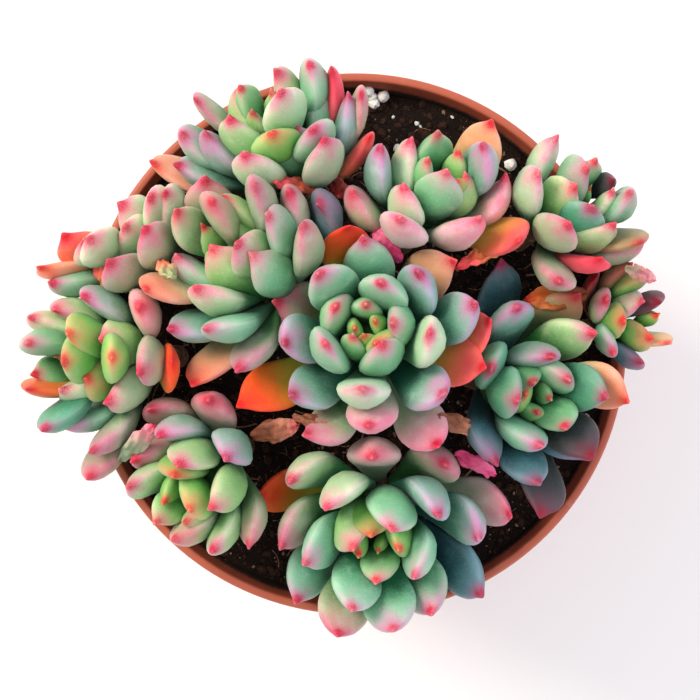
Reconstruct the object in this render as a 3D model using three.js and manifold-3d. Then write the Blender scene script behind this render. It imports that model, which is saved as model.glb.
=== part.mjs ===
// Potted blue elf echeveria: eleven leafy rosettes on short woody stems, crowding a round
// terracotta-coloured pot. Millimetres, +Z up. The origin is the middle of the pot's underside.
import * as THREE from "three";
import { mergeVertices } from "three/addons/utils/BufferGeometryUtils.js";
import Module from "manifold-3d";

const wasm = await Module();
wasm.setup();

// Driving dimensions of the pot and its filling
const POT = {
  height: 120,
  rimRadius: 85,
  collarHeight: 24,
  collarStep: 2.6,
  baseRadius: 58,
  wall: 2.9,
  floor: 3.2,
  footHeight: 2.4,
  footWidth: 5,
  padRadius: 10,
  taperInCollar: 4.4,
  sides: 44,
};
const DRAIN = { count: 6, radius: 3.2, ring: 32, sides: 10 };
const SOIL = { depthBelowRim: 9.5, roughness: 1.1, rings: [0, 18, 36, 54, 70], sides: 32 };
const GAP = 0.3;

// Driving dimensions of a leaf: its full width and the width in the heart, the distance from the
// axis where it is fully grown, its width against its length at most, its thickness against its
// width, and its length from the heart out
const LEAF = {
  width: 17.5,
  youngWidth: 3.5,
  fullWidthAt: 10,
  widest: 0.66,
  plumpness: 0.56,
  youngPlumpness: 0.8,
  oldSlimness: 0.65,
  shortest: 12,
  longest: 29,
  longestOld: 34,
  slender: 16.2,
};
// Where a leaf is widest, from its tip, as a share of its length, and how flat it may lie there
const BELLY = { fromTip: 0.38, flattest: 0.2, bendAt: 1.25 };
// Along the blade from root to tip: the place, and the shares of the full width and thickness
const BLADE = [[0.34, 0.65, 0.72], [0.64, 1.0, 0.92], [0.87, 0.66, 0.52]];
const YOUNG_BLADE = [[0.3, 0.62, 0.66], [0.78, 0.96, 0.82]];
const POINT_LENGTH = 1;

// Driving dimensions of a rosette: its leaf tips lie near one shallow shape of revolution, and
// the roots along a stretch of its axis, a little to the side of it
const ROSETTE = {
  reach: 31,
  cupRise: 0.95,
  cupFall: 0.035,
  rootHigh: 8,
  rootLow: 22,
  rootShift: 4,
  rootWeight: 0.3,
};
const CORE = [[-24, 3.3], [-16, 8.5], [-10.5, 5]];
const CORE_TOP = 8.5;
const STEM = { radius: 3.3, buried: 24, sides: 6 };

// The plan is read from above in picture units: the pot's axis, the size of one unit at the
// height of the rim, and the height of the eye over the rim.
const PLAN = { axisX: 355.5, axisY: 343.9, unit: 0.3132, eye: 700 };

// Each rosette: where its heart is seen, the heart's height over the rim, which way it leans
// (degrees from +X), how far it leans, its size, and two places for each leaf, from the youngest
// out: where its tip is seen, and where its widest part is seen. The old leaves, flatter and
// coral coloured, come after the green ones.
const ROSETTES = [
  {
    name: "middle", heart: [365, 327], over: 46, toward: 120, lean: 16, size: 1.0,
    tips: [
      [364, 335, 369, 342], [375, 321, 377, 325], [355, 328, 356, 328], [376, 343, 384, 341],
      [353, 336, 352, 350], [366, 305, 366, 309], [392, 323, 402, 322], [386, 351, 385, 365],
      [336, 307, 334, 314], [379, 279, 384, 288], [427, 330, 432, 341], [361, 382, 361, 394],
      [321, 349, 321, 356], [325, 273, 335, 282], [419, 279, 424, 291], [443, 392, 428, 392],
      [367, 423, 372, 420], [290, 342, 300, 336], [472, 304, 460, 318], [293, 392, 312, 390],
      [358, 236, 365, 262], [271, 297, 295, 300], [437, 445, 425, 433], [308, 433, 335, 432],
    ],
    old: [
      [448, 251, 423, 262], [240, 405, 268, 388], [341, 222, 335, 236], [499, 325, 485, 342],
      [486, 366, 460, 362],
    ],
  },
  {
    name: "left_of_middle", heart: [231, 247], over: 33, toward: 138, lean: 54, size: 1.0,
    tips: [
      [224, 248, 238, 251], [243, 238, 254, 250], [212, 251, 216, 268], [221, 256, 238, 277],
      [231, 226, 247, 233], [252, 243, 277, 268], [203, 227, 212, 246], [256, 220, 275, 232],
      [226, 201, 243, 214], [176, 261, 190, 278], [197, 279, 212, 296], [174, 212, 187, 230],
      [277, 196, 288, 210], [308, 223, 312, 245], [197, 183, 200, 203], [222, 192, 221, 208],
      [258, 188, 262, 200], [205, 324, 228, 328], [164, 331, 190, 330], [238, 367, 254, 348],
      [313, 208, 332, 208],
    ],
    old: [
      [188, 387, 206, 368], [146, 286, 160, 289],
    ],
  },
  {
    name: "upper_middle", heart: [440, 172], over: 30, toward: 62, lean: 42, size: 1.0,
    tips: [
      [455, 181, 453, 192], [428, 160, 425, 176], [438, 175, 434, 198], [458, 153, 456, 172],
      [405, 151, 402, 176], [465, 176, 468, 202], [400, 180, 404, 206], [438, 134, 434, 155],
      [489, 147, 491, 170], [503, 177, 499, 208], [475, 218, 458, 235], [410, 221, 410, 233],
      [383, 151, 378, 175], [359, 192, 364, 210],
    ],
    old: [
      [490, 124, 485, 150], [526, 236, 521, 236],
    ],
  },
  {
    name: "right", heart: [533, 397], over: 24, toward: -18, lean: 34, size: 1.0,
    tips: [
      [526, 394, 523, 397], [534, 383, 524, 380], [550, 399, 543, 392], [538, 412, 532, 411],
      [568, 380, 555, 375], [514, 398, 506, 391], [548, 356, 532, 354], [565, 427, 558, 412],
      [535, 448, 519, 435], [605, 398, 583, 386], [594, 335, 566, 335], [582, 460, 562, 440],
      [518, 309, 512, 318], [503, 457, 487, 430], [540, 487, 524, 468], [488, 368, 490, 362],
      [587, 300, 565, 312],
    ],
    old: [
      [627, 398, 609, 378], [501, 262, 500, 292], [591, 454, 577, 433], [543, 503, 550, 478],
    ],
  },
  {
    name: "upper_left", heart: [275, 124], over: 22, toward: 112, lean: 56, size: 1.0,
    tips: [
      [273, 130, 277, 141], [273, 121, 279, 130], [292, 108, 292, 121], [253, 112, 258, 127],
      [295, 117, 304, 132], [290, 125, 291, 152], [245, 124, 252, 146], [272, 93, 277, 113],
      [304, 92, 317, 115], [233, 101, 238, 122], [212, 132, 220, 154], [248, 150, 258, 170],
      [323, 138, 325, 162], [346, 100, 348, 130], [296, 77, 302, 96], [190, 130, 200, 145],
      [241, 88, 250, 104], [303, 69, 311, 86], [179, 165, 205, 174],
    ],
    old: [
      [353, 91, 358, 110], [373, 138, 362, 158], [196, 106, 211, 118], [153, 164, 174, 178],
      [325, 75, 333, 98],
    ],
  },
  {
    name: "upper_right", heart: [585, 192], over: 20, toward: 36, lean: 46, size: 0.95,
    tips: [
      [590, 188, 585, 198], [592, 208, 582, 220], [576, 174, 567, 181], [576, 191, 561, 203],
      [612, 191, 605, 207], [595, 161, 586, 178], [542, 177, 531, 193], [564, 221, 552, 233],
      [613, 222, 593, 238], [561, 146, 545, 166], [630, 192, 624, 208], [637, 236, 618, 250],
      [563, 272, 558, 269], [613, 180, 606, 183],
    ],
    old: [
      [643, 241, 628, 243], [599, 262, 586, 272],
    ],
  },
  {
    name: "bottom", heart: [374, 545], over: 20, toward: -92, lean: 34, size: 1.05,
    tips: [
      [371, 535, 371, 519], [378, 551, 380, 541], [359, 555, 361, 540], [398, 549, 399, 536],
      [347, 540, 349, 521], [388, 530, 391, 508], [376, 581, 381, 562], [319, 566, 333, 545],
      [332, 511, 347, 490], [416, 577, 426, 553], [434, 518, 432, 496], [350, 610, 353, 589],
      [284, 546, 297, 519], [298, 600, 306, 570], [421, 610, 424, 590], [372, 459, 374, 448],
      [291, 482, 306, 465], [476, 542, 473, 520], [345, 630, 345, 613], [392, 628, 391, 612],
      [479, 590, 468, 570], [444, 465, 442, 458],
    ],
    old: [
      [255, 498, 276, 487], [510, 515, 495, 497],
    ],
  },
  {
    name: "lower_left", heart: [186, 496], over: 20, toward: -140, lean: 42, size: 0.95,
    tips: [
      [190, 498, 189, 489], [198, 498, 200, 490], [170, 477, 178, 467], [180, 473, 193, 458],
      [164, 502, 172, 486], [204, 509, 226, 490], [185, 522, 199, 515], [222, 461, 232, 443],
      [159, 439, 178, 426], [156, 522, 168, 508], [137, 465, 155, 453], [183, 538, 200, 530],
      [211, 543, 225, 530], [240, 541, 248, 515], [129, 478, 147, 475], [204, 403, 210, 406],
      [146, 410, 162, 408],
    ],
    old: [],
  },
  {
    name: "left", heart: [84, 360], over: 16, toward: 182, lean: 55, size: 0.98,
    tips: [
      [88, 352, 93, 352], [99, 362, 103, 361], [76, 340, 90, 338], [88, 344, 112, 345],
      [78, 369, 88, 366], [87, 372, 99, 374], [57, 356, 69, 352], [95, 387, 121, 381],
      [62, 389, 80, 393], [56, 315, 76, 314], [85, 304, 106, 304], [140, 366, 152, 354],
      [64, 427, 92, 423], [40, 317, 58, 325], [34, 374, 53, 372], [49, 427, 64, 414],
      [98, 446, 118, 435], [30, 333, 42, 338], [135, 306, 141, 308], [92, 474, 107, 462],
    ],
    old: [
      [29, 395, 46, 394], [173, 363, 171, 371],
    ],
  },
  {
    name: "far_upper_left", heart: [106, 228], over: 10, toward: 148, lean: 72, size: 0.95,
    tips: [
      [141, 226, 154, 244], [107, 234, 124, 253], [118, 224, 128, 234], [129, 210, 143, 222],
      [120, 268, 131, 281], [95, 235, 102, 246], [148, 201, 156, 210], [163, 189, 173, 203],
      [86, 248, 92, 254], [52, 279, 73, 284],
    ],
    old: [
      [72, 253, 84, 264], [48, 267, 68, 273],
    ],
  },
  {
    name: "small_right", heart: [640, 325], over: 8, toward: 5, lean: 45, size: 0.72,
    tips: [
      [626, 322, 617, 321], [641, 338, 629, 336], [636, 303, 622, 305], [657, 315, 647, 320],
      [620, 349, 611, 337], [607, 301, 601, 305], [644, 283, 630, 285], [641, 354, 628, 352],
      [628, 266, 614, 276], [650, 296, 642, 297],
    ],
    old: [
      [669, 343, 656, 339], [601, 281, 590, 286],
    ],
  },
];

// Withered leaves that lie among the rosettes: where the two ends are seen, the height of each
// over the rim, the width, and how far the blade is rolled on its side (degrees)
const WITHERED = {
  thickness: 1.8,
  sag: 0.1,
  blade: [[0.1, 0.5], [0.35, 0.95], [0.65, 1.0], [0.88, 0.6]],
};
const WITHERED_LEAVES = [
  { from: [319, 190], to: [266, 179], over: [25, 33], width: 6, roll: 35 },
  { from: [326, 178], to: [349, 197], over: [22, 26], width: 6, roll: 20 },
  { from: [402, 262], to: [372, 226], over: [34, 30], width: 7, roll: -25 },
  { from: [174, 280], to: [160, 259], over: [37, 31], width: 6, roll: 40 },
  { from: [120, 462], to: [156, 424], over: [12, 27], width: 7, roll: 30 },
  { from: [436, 416], to: [480, 432], over: [35, 24], width: 6, roll: -20 },
  { from: [588, 293], to: [524, 300], over: [14, 17], width: 9, roll: 15 },
  { from: [250, 437], to: [300, 424], over: [18, 25], width: 8, roll: 25 },
  { from: [292, 416], to: [342, 428], over: [31, 34], width: 5, roll: -30 },
  { from: [455, 452], to: [497, 476], over: [26, 19], width: 7, roll: 40 },
  { from: [517, 236], to: [455, 269], over: [20, 29], width: 7, roll: 50 },
  { from: [113, 292], to: [96, 253], over: [14, 18], width: 8, roll: -40 },
  { from: [625, 268], to: [655, 279], over: [26, 20], width: 5, roll: 30 },
];

// Vectors as plain arrays, which keeps the sums below short
const add = (a, b) => [a[0] + b[0], a[1] + b[1], a[2] + b[2]];
const sub = (a, b) => [a[0] - b[0], a[1] - b[1], a[2] - b[2]];
const scale = (a, k) => [a[0] * k, a[1] * k, a[2] * k];
const dot = (a, b) => a[0] * b[0] + a[1] * b[1] + a[2] * b[2];
const cross = (a, b) => [
  a[1] * b[2] - a[2] * b[1],
  a[2] * b[0] - a[0] * b[2],
  a[0] * b[1] - a[1] * b[0],
];
const unit = (a) => scale(a, 1 / Math.hypot(...a));
const sum = (...vectors) => vectors.reduce(add);

// A place seen in plan, at a height over the rim, as a point over the rim's middle
function seenAt([x, y], over) {
  const k = (PLAN.unit * (PLAN.eye - over)) / PLAN.eye;
  return [(x - PLAN.axisX) * k, -(y - PLAN.axisY) * k, over];
}

// The rosette's own frame: up its axis, downhill, and across
function rosetteFrame(rosette) {
  const azimuth = THREE.MathUtils.degToRad(rosette.toward);
  const lean = THREE.MathUtils.degToRad(rosette.lean);
  const up = [Math.sin(lean) * Math.cos(azimuth), Math.sin(lean) * Math.sin(azimuth), Math.cos(lean)];
  const downhill = [
    Math.cos(lean) * Math.cos(azimuth),
    Math.cos(lean) * Math.sin(azimuth),
    -Math.sin(lean),
  ];
  return { up, downhill, across: cross(up, downhill), heart: seenAt(rosette.heart, rosette.over) };
}

// Height of the leaf tips over the heart, at a distance from the rosette's axis
function cup(radius, size) {
  const r = radius / size;
  return size * (ROSETTE.cupRise * r - ROSETTE.cupFall * r * r);
}

// Where a leaf is widest: on its line of sight, at the leaf's own distance from its tip
function seenBelly(tip, seen, length) {
  const away = BELLY.fromTip * length;
  let drop = 0.7 * away;
  for (let round = 0; round < 4; round += 1) {
    const belly = seenAt(seen, tip[2] - drop);
    const level = Math.hypot(belly[0] - tip[0], belly[1] - tip[1]);
    drop = Math.sqrt(Math.max((BELLY.flattest * away) ** 2, away * away - level * level));
  }
  return seenAt(seen, tip[2] - drop);
}

// A leaf with its tip at one height over the rim, and how badly it fits the cup and the axis
function tryTip(rosette, frame, [tipX, tipY, bellyX, bellyY], old, over) {
  const { size } = rosette;
  const tip = seenAt([tipX, tipY], over);
  const fromHeart = sub(tip, frame.heart);
  const u = dot(fromHeart, frame.downhill);
  const v = dot(fromHeart, frame.across);
  const radius = Math.hypot(u, v);
  const growth = Math.min(1, radius / (LEAF.fullWidthAt * size));
  const longest = old ? LEAF.longestOld : LEAF.longest;
  const length = size * (LEAF.shortest + (longest - LEAF.shortest) * growth);
  const belly = seenBelly(tip, [bellyX, bellyY], length);
  const end = add(tip, scale(sub(belly, tip), 1 / BELLY.fromTip));
  const onward = dot(sub(end, frame.heart), frame.up);
  const alongAxis = THREE.MathUtils.clamp(onward, -ROSETTE.rootLow * size, -ROSETTE.rootHigh * size);
  const onAxis = add(frame.heart, scale(frame.up, alongAxis));
  const away = sub(end, onAxis);
  const overCup = dot(fromHeart, frame.up) - cup(radius, size);
  const beyond = Math.max(0, radius - ROSETTE.reach * size);
  const miss = overCup ** 2 + ROSETTE.rootWeight * dot(away, away) + 4 * beyond ** 2;
  const shift = Math.min(1, (ROSETTE.rootShift * size) / Math.hypot(...away));
  const root = add(onAxis, scale(away, shift));
  return { miss, tip, belly, root, radius, growth, length, angle: Math.atan2(v, u) };
}

// One leaf: root near the axis, tip where it is seen, and a middle point that bends it upward
function placeLeaf(rosette, frame, seen, old) {
  const { size } = rosette;
  let best = null;
  for (let drop = 0; drop < 70; drop += 1) {
    const found = tryTip(rosette, frame, seen, old, rosette.over + 24 - drop);
    if (best === null || found.miss < best.miss) best = found;
  }
  const { tip, belly, root, growth } = best;
  const outward = add(
    scale(frame.downhill, Math.cos(best.angle)),
    scale(frame.across, Math.sin(best.angle)),
  );
  const level = cross(frame.up, outward);
  const chord = unit(sub(tip, belly));
  const full = LEAF.youngWidth + (LEAF.width - LEAF.youngWidth) * growth;
  const width = Math.min(size * full, LEAF.widest * best.length);
  const plumpness = LEAF.youngPlumpness + (LEAF.plumpness - LEAF.youngPlumpness) * growth;
  return {
    root,
    bend: add(tip, scale(sub(belly, tip), BELLY.bendAt)),
    tip,
    side: unit(sub(level, scale(chord, dot(level, chord)))),
    width,
    thickness: width * plumpness * (old ? LEAF.oldSlimness : 1),
    young: best.radius < 9 * size,
  };
}

// A point on the leaf's midline, from root (0) to tip (1), and the direction there
function midline(leaf, t) {
  const a = (1 - t) * (1 - t);
  const b = 2 * t * (1 - t);
  return sum(scale(leaf.root, a), scale(leaf.bend, b), scale(leaf.tip, t * t));
}
function direction(leaf, t) {
  return unit(add(scale(sub(leaf.bend, leaf.root), 1 - t), scale(sub(leaf.tip, leaf.bend), t)));
}

// Balls that stand for a leaf while leaves are moved clear of each other
const BALL_PLACES = [[0.5, 0.88], [0.68, 1.0], [0.84, 0.9], [0.95, 0.6]];
function leafBalls(leaf) {
  const balls = [];
  for (const [t, share] of BALL_PLACES) {
    const middle = midline(leaf, t);
    const reach = ((leaf.width - leaf.thickness) / 2) * share;
    for (const across of [-1, 0, 1]) {
      const at = add(middle, scale(leaf.side, across * reach));
      balls.push({ at, radius: (leaf.thickness / 2) * share });
    }
  }
  return balls;
}

// Leaves of two rosettes that meet are bent apart, mostly up and down, so that the plan holds.
// A leaf over the rim is lifted clear of it, and one over the soil is lifted clear of that.
const CLEARING = {
  rounds: 60,
  share: 0.45,
  sideways: 0.1,
  room: 0.4,
  sameRosette: 0.3,
  step: 1.5,
  most: 7,
};
function liftOverPot(ball) {
  const overRim = Math.hypot(ball.at[0], ball.at[1]) > POT.rimRadius - POT.wall - ball.radius;
  const lowest = (overRim ? 0 : -SOIL.depthBelowRim + SOIL.roughness) + ball.radius + CLEARING.room;
  return Math.max(0, lowest - ball.at[2]);
}
function deepest(ballsA, ballsB) {
  let worst = null;
  for (const a of ballsA) {
    for (const b of ballsB) {
      const from = sub(a.at, b.at);
      const apart = Math.hypot(...from);
      const depth = a.radius + b.radius + CLEARING.room - apart;
      if (depth > 0 && (worst === null || depth > worst.depth)) {
        worst = { depth, way: scale(from, 1 / Math.max(apart, 0.01)) };
      }
    }
  }
  return worst;
}
function moveClear(leaves) {
  for (let round = 0; round < CLEARING.rounds; round += 1) {
    const balls = leaves.map(leafBalls);
    const pushes = leaves.map(() => [0, 0, 0]);
    for (let i = 0; i < leaves.length; i += 1) {
      for (let j = i + 1; j < leaves.length; j += 1) {
        const near = leaves[i].width + leaves[j].width + 12;
        if (Math.hypot(...sub(balls[i][4].at, balls[j][4].at)) > near) continue;
        const same = leaves[i].rosette === leaves[j].rosette;
        if (same && (leaves[i].young || leaves[j].young)) continue;
        const worst = deepest(balls[i], balls[j]);
        if (worst === null) continue;
        const strength = worst.depth * CLEARING.share * (same ? CLEARING.sameRosette : 1);
        const push = [
          worst.way[0] * strength * CLEARING.sideways,
          worst.way[1] * strength * CLEARING.sideways,
          worst.way[2] * strength,
        ];
        pushes[i] = add(pushes[i], push);
        pushes[j] = sub(pushes[j], push);
      }
    }
    leaves.forEach((leaf, i) => {
      const lift = Math.max(...balls[i].map(liftOverPot));
      const { clamp } = THREE.MathUtils;
      const pushed = clamp(leaf.pushed + pushes[i][2], -CLEARING.most, CLEARING.most);
      const rise = clamp(pushed - leaf.pushed + lift * 0.7, -CLEARING.step, CLEARING.step);
      const sight = rise / (PLAN.eye - leaf.tip[2]);
      const step = [
        pushes[i][0] - leaf.tip[0] * sight,
        pushes[i][1] - leaf.tip[1] * sight,
        rise,
      ];
      leaf.pushed = pushed;
      leaf.tip = add(leaf.tip, step);
      leaf.bend = add(leaf.bend, scale(step, 0.6));
    });
  }
}

// Solids: joined and cut from closed meshes
function toSolid(geometry) {
  const bare = geometry.clone();
  bare.deleteAttribute("normal");
  bare.deleteAttribute("uv");
  const merged = mergeVertices(bare, 1e-4);
  return new wasm.Manifold(new wasm.Mesh({
    numProp: 3,
    vertProperties: new Float32Array(merged.attributes.position.array),
    triVerts: new Uint32Array(merged.index.array),
  }));
}
function toGeometry(solid) {
  const { vertProperties, triVerts, numProp } = solid.getMesh();
  const points = [];
  for (let i = 0; i < vertProperties.length; i += numProp) {
    points.push(vertProperties[i], vertProperties[i + 1], vertProperties[i + 2]);
  }
  const geometry = new THREE.BufferGeometry();
  geometry.setAttribute("position", new THREE.Float32BufferAttribute(points, 3));
  geometry.setIndex(Array.from(triVerts));
  geometry.computeVertexNormals();
  return geometry;
}
function largestPiece(solid) {
  return solid.decompose().reduce((a, b) => (b.volume() > a.volume() ? b : a));
}

// Rings of points skinned into a closed solid, with a point at each end
function skin(start, rings, end) {
  const count = rings[0].length;
  const points = [start, ...rings.flat(), end];
  const faces = [];
  const last = points.length - 1;
  for (let k = 0; k < count; k += 1) {
    const next = (k + 1) % count;
    faces.push([0, 1 + next, 1 + k]);
    for (let ring = 0; ring < rings.length - 1; ring += 1) {
      const low = 1 + ring * count;
      const high = low + count;
      faces.push([low + k, low + next, high + next], [low + k, high + next, high + k]);
    }
    const top = 1 + (rings.length - 1) * count;
    faces.push([top + k, top + next, last]);
  }
  const geometry = new THREE.BufferGeometry();
  geometry.setAttribute("position", new THREE.Float32BufferAttribute(points.flat(), 3));
  geometry.setIndex(faces.flat());
  const solid = toSolid(geometry);
  if (solid.volume() > 0) return solid;
  geometry.setIndex(faces.map(([a, b, c]) => [a, c, b]).flat());
  return toSolid(geometry);
}

// A plump blade, flat above and keeled below; extra thickens it all round
function leafSolid(leaf, extra = 0) {
  const sides = leaf.young || leaf.width < LEAF.slender ? 4 : 5;
  const keel = -Math.PI / 2;
  const widest = Math.cos(((sides % 2) * Math.PI) / (2 * sides));
  const blade = leaf.young ? YOUNG_BLADE : BLADE;
  const rings = blade.map(([t, wide, thick]) => {
    const middle = midline(leaf, t);
    const above = unit(cross(direction(leaf, t), leaf.side));
    const half = (leaf.width / 2) * wide + extra;
    const deep = ((leaf.thickness / 2) * thick + extra) * (sides === 5 ? 1.12 : 1.2);
    return Array.from({ length: sides }, (_, k) => {
      const turn = keel + (2 * Math.PI * k) / sides;
      const across = scale(leaf.side, (half * Math.cos(turn)) / widest);
      return sum(middle, across, scale(above, deep * Math.sin(turn)));
    });
  });
  const end = add(leaf.tip, scale(direction(leaf, 1), POINT_LENGTH + extra));
  return skin(leaf.root, rings, end);
}

// A withered leaf: a thin sagging blade between its two ends
function witheredSolid({ from, to, over, width, roll }, extra = 0) {
  const start = seenAt(from, over[0]);
  const end = seenAt(to, over[1]);
  const along = sub(end, start);
  const level = unit([-along[1], along[0], 0]);
  const above = unit(cross(along, level));
  const turn = THREE.MathUtils.degToRad(roll);
  const side = add(scale(level, Math.cos(turn)), scale(above, Math.sin(turn)));
  const middle = scale(add(start, end), 0.5);
  const bend = add(middle, [0, 0, WITHERED.sag * Math.hypot(...along)]);
  const leaf = { root: start, bend, tip: end, side };
  const rings = WITHERED.blade.map(([t, share]) => {
    const centre = midline(leaf, t);
    const normal = unit(cross(direction(leaf, t), side));
    const half = scale(side, (width / 2) * share + extra);
    const deep = scale(normal, WITHERED.thickness / 2 + extra);
    return [add(centre, half), add(centre, deep), sub(centre, half), sub(centre, deep)];
  });
  return skin(start, rings, end);
}

// The rosette's core and woody stem: one tapering tube down the axis and into the soil
function stemPath(rosette, frame) {
  const foot = add(frame.heart, scale(frame.up, CORE[0][0] * rosette.size));
  const lean = THREE.MathUtils.degToRad(rosette.lean);
  const back = 9 * Math.sin(lean);
  const azimuth = THREE.MathUtils.degToRad(rosette.toward);
  const x = foot[0] - back * Math.cos(azimuth);
  const y = foot[1] - back * Math.sin(azimuth);
  return { foot, x, y };
}
function ringAround(middle, along, radius, sides) {
  const helper = Math.abs(along[0]) < 0.8 ? [1, 0, 0] : [0, 1, 0];
  const u = unit(cross(along, helper));
  const v = cross(along, u);
  return Array.from({ length: sides }, (_, k) => {
    const turn = (2 * Math.PI * k) / sides;
    return sum(middle, scale(u, radius * Math.cos(turn)), scale(v, radius * Math.sin(turn)));
  });
}
function stemSolid(rosette, frame, extra = 0) {
  const { foot, x, y } = stemPath(rosette, frame);
  const level = -SOIL.depthBelowRim;
  const bottom = [x, y, level - STEM.buried];
  const collar = [x, y, Math.min(level + 3, foot[2] - 2)];
  const curve = new THREE.QuadraticBezierCurve3(
    new THREE.Vector3(...collar),
    new THREE.Vector3(...add(collar, [0, 0, Math.max(1, (foot[2] - collar[2]) * 0.6)])),
    new THREE.Vector3(...foot),
  );
  const rings = [ringAround(bottom, [0, 0, 1], STEM.radius + extra, STEM.sides)];
  for (const t of [0, 0.5]) {
    const along = curve.getTangent(t).toArray();
    rings.push(ringAround(curve.getPoint(t).toArray(), along, STEM.radius + extra, STEM.sides));
  }
  for (const [height, radius] of CORE) {
    const middle = add(frame.heart, scale(frame.up, height * rosette.size));
    rings.push(ringAround(middle, frame.up, radius * rosette.size + extra, STEM.sides));
  }
  const start = add(bottom, [0, 0, -0.5 - extra]);
  const end = add(frame.heart, scale(frame.up, -CORE_TOP * rosette.size + extra));
  return skin(start, rings, end);
}

// Pot: one turned profile, with a rolled collar under the rim, then drain holes cut through
function potSolid() {
  const inner = POT.rimRadius - POT.wall;
  const outline = [
    [0, 0],
    [POT.padRadius, 0],
    [POT.padRadius + 0.8, POT.footHeight],
    [POT.baseRadius - POT.footWidth, POT.footHeight],
    [POT.baseRadius - POT.footWidth + 0.8, 0],
    [POT.baseRadius, 0],
    [POT.rimRadius - POT.collarStep - 1.8, POT.height - POT.collarHeight],
    [POT.rimRadius - 1.2, POT.height - POT.collarHeight + 0.8],
    [POT.rimRadius, POT.height - 1],
    [POT.rimRadius - 0.6, POT.height],
    [inner + 0.4, POT.height],
    [inner, POT.height - 0.8],
    [inner - POT.taperInCollar, POT.height - POT.collarHeight],
    [POT.baseRadius - POT.wall, POT.footHeight + POT.floor],
    [0, POT.footHeight + POT.floor],
  ];
  const profile = outline.map(([r, z]) => new THREE.Vector2(r, z));
  const turned = new THREE.LatheGeometry(profile, POT.sides);
  turned.rotateX(Math.PI / 2);
  let pot = toSolid(turned);
  for (let k = 0; k < DRAIN.count; k += 1) {
    const turn = (2 * Math.PI * k) / DRAIN.count;
    const drill = new THREE.CylinderGeometry(DRAIN.radius, DRAIN.radius, 20, DRAIN.sides);
    drill.rotateX(Math.PI / 2);
    drill.translate(DRAIN.ring * Math.cos(turn), DRAIN.ring * Math.sin(turn), POT.footHeight);
    pot = pot.subtract(toSolid(drill));
  }
  return pot;
}

// The space round the rim that leaves stay out of
function rimKeepOut() {
  const inner = POT.rimRadius - POT.wall - GAP;
  const outer = POT.rimRadius + GAP;
  const outline = [
    [inner, GAP],
    [inner - POT.taperInCollar, -POT.collarHeight],
    [outer, -POT.collarHeight],
    [outer, GAP],
    [inner, GAP],
  ];
  const turned = new THREE.LatheGeometry(outline.map(([r, z]) => new THREE.Vector2(r, z)), POT.sides);
  turned.rotateX(Math.PI / 2);
  return toSolid(turned);
}

// Soil: fills the pot to below the rim, with an uneven top and a plain hole for each stem
const innerRadius = (z) => {
  const mouth = POT.rimRadius - POT.wall;
  const shoulder = mouth - POT.taperInCollar;
  const collar = POT.height - POT.collarHeight;
  const floor = POT.footHeight + POT.floor;
  if (z > collar) return shoulder + (POT.taperInCollar * (z - collar)) / (POT.collarHeight - 0.8);
  return POT.baseRadius - POT.wall
    + ((shoulder - POT.baseRadius + POT.wall) * (z - floor)) / (collar - floor);
};
function soilHeight(x, y) {
  const waves = Math.sin(x * 0.21 + 1.3) * Math.cos(y * 0.17 - 0.6) + 0.5 * Math.sin(x * 0.09 - y * 0.13);
  return POT.height - SOIL.depthBelowRim + (SOIL.roughness * waves) / 1.5;
}
function soilSolid(stems) {
  const floor = POT.footHeight + POT.floor + GAP;
  const collar = POT.height - POT.collarHeight;
  const flat = POT.height - SOIL.depthBelowRim;
  const radii = [
    [POT.baseRadius - POT.wall - GAP - 0.2, floor],
    [innerRadius(collar) - GAP - 0.2, collar],
    [innerRadius(flat) - GAP - 0.2, flat],
  ];
  const ring = (radius, height) => Array.from({ length: SOIL.sides }, (_, k) => {
    const turn = (2 * Math.PI * k) / SOIL.sides;
    const x = radius * Math.cos(turn);
    const y = radius * Math.sin(turn);
    return [x, y, height(x, y)];
  });
  const rings = radii.map(([radius, z], i) => ring(radius, i === 2 ? soilHeight : () => z));
  for (const radius of SOIL.rings.slice(1).reverse()) rings.push(ring(radius, soilHeight));
  let soil = skin([0, 0, floor], rings, [0, 0, soilHeight(0, 0)]);
  for (const { x, y } of stems) {
    const hole = new THREE.CylinderGeometry(STEM.radius + GAP, STEM.radius + GAP, 60, 8);
    hole.rotateX(Math.PI / 2);
    hole.translate(x, y, flat - STEM.buried - 1 + 30);
    soil = soil.subtract(toSolid(hole));
  }
  return soil;
}

// Every leaf is placed, then all are moved clear of each other together
const plants = ROSETTES.map((rosette) => {
  const frame = rosetteFrame(rosette);
  const leaves = [
    ...rosette.tips.map((seen) => placeLeaf(rosette, frame, seen, false)),
    ...rosette.old.map((seen) => placeLeaf(rosette, frame, seen, true)),
  ];
  leaves.forEach((leaf) => Object.assign(leaf, { rosette: rosette.name, pushed: 0 }));
  return { rosette, frame, leaves };
});
moveClear(plants.flatMap((plant) => plant.leaves));

// Each rosette is fused, and gives way by the gap to those before it
const done = [];
const keepOut = rimKeepOut();
const rosetteSolids = plants.map((plant) => {
  const whole = (extra) => wasm.Manifold.union([
    stemSolid(plant.rosette, plant.frame, extra),
    ...plant.leaves.map((leaf) => leafSolid(leaf, extra)),
  ]);
  let solid = whole(0).subtract(keepOut);
  for (const fat of done) solid = solid.subtract(fat);
  done.push(whole(GAP));
  return largestPiece(solid);
});

// Withered leaves lie in what room is left between the rosettes
const witheredSolids = [];
for (const row of WITHERED_LEAVES) {
  let solid = witheredSolid(row).subtract(keepOut);
  for (const fat of done) solid = solid.subtract(fat);
  witheredSolids.push(largestPiece(solid));
  done.push(witheredSolid(row, GAP));
}

// Materials
const paint = (colour, roughness) => new THREE.MeshStandardMaterial({
  color: colour,
  roughness,
  metalness: 0,
});
const potPaint = paint(0xc46854, 0.55);
const soilPaint = paint(0x1d1512, 0.95);
const leafPaint = paint(0x9fc0a6, 0.6);
const witheredPaint = paint(0xc4714f, 0.8);

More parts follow.
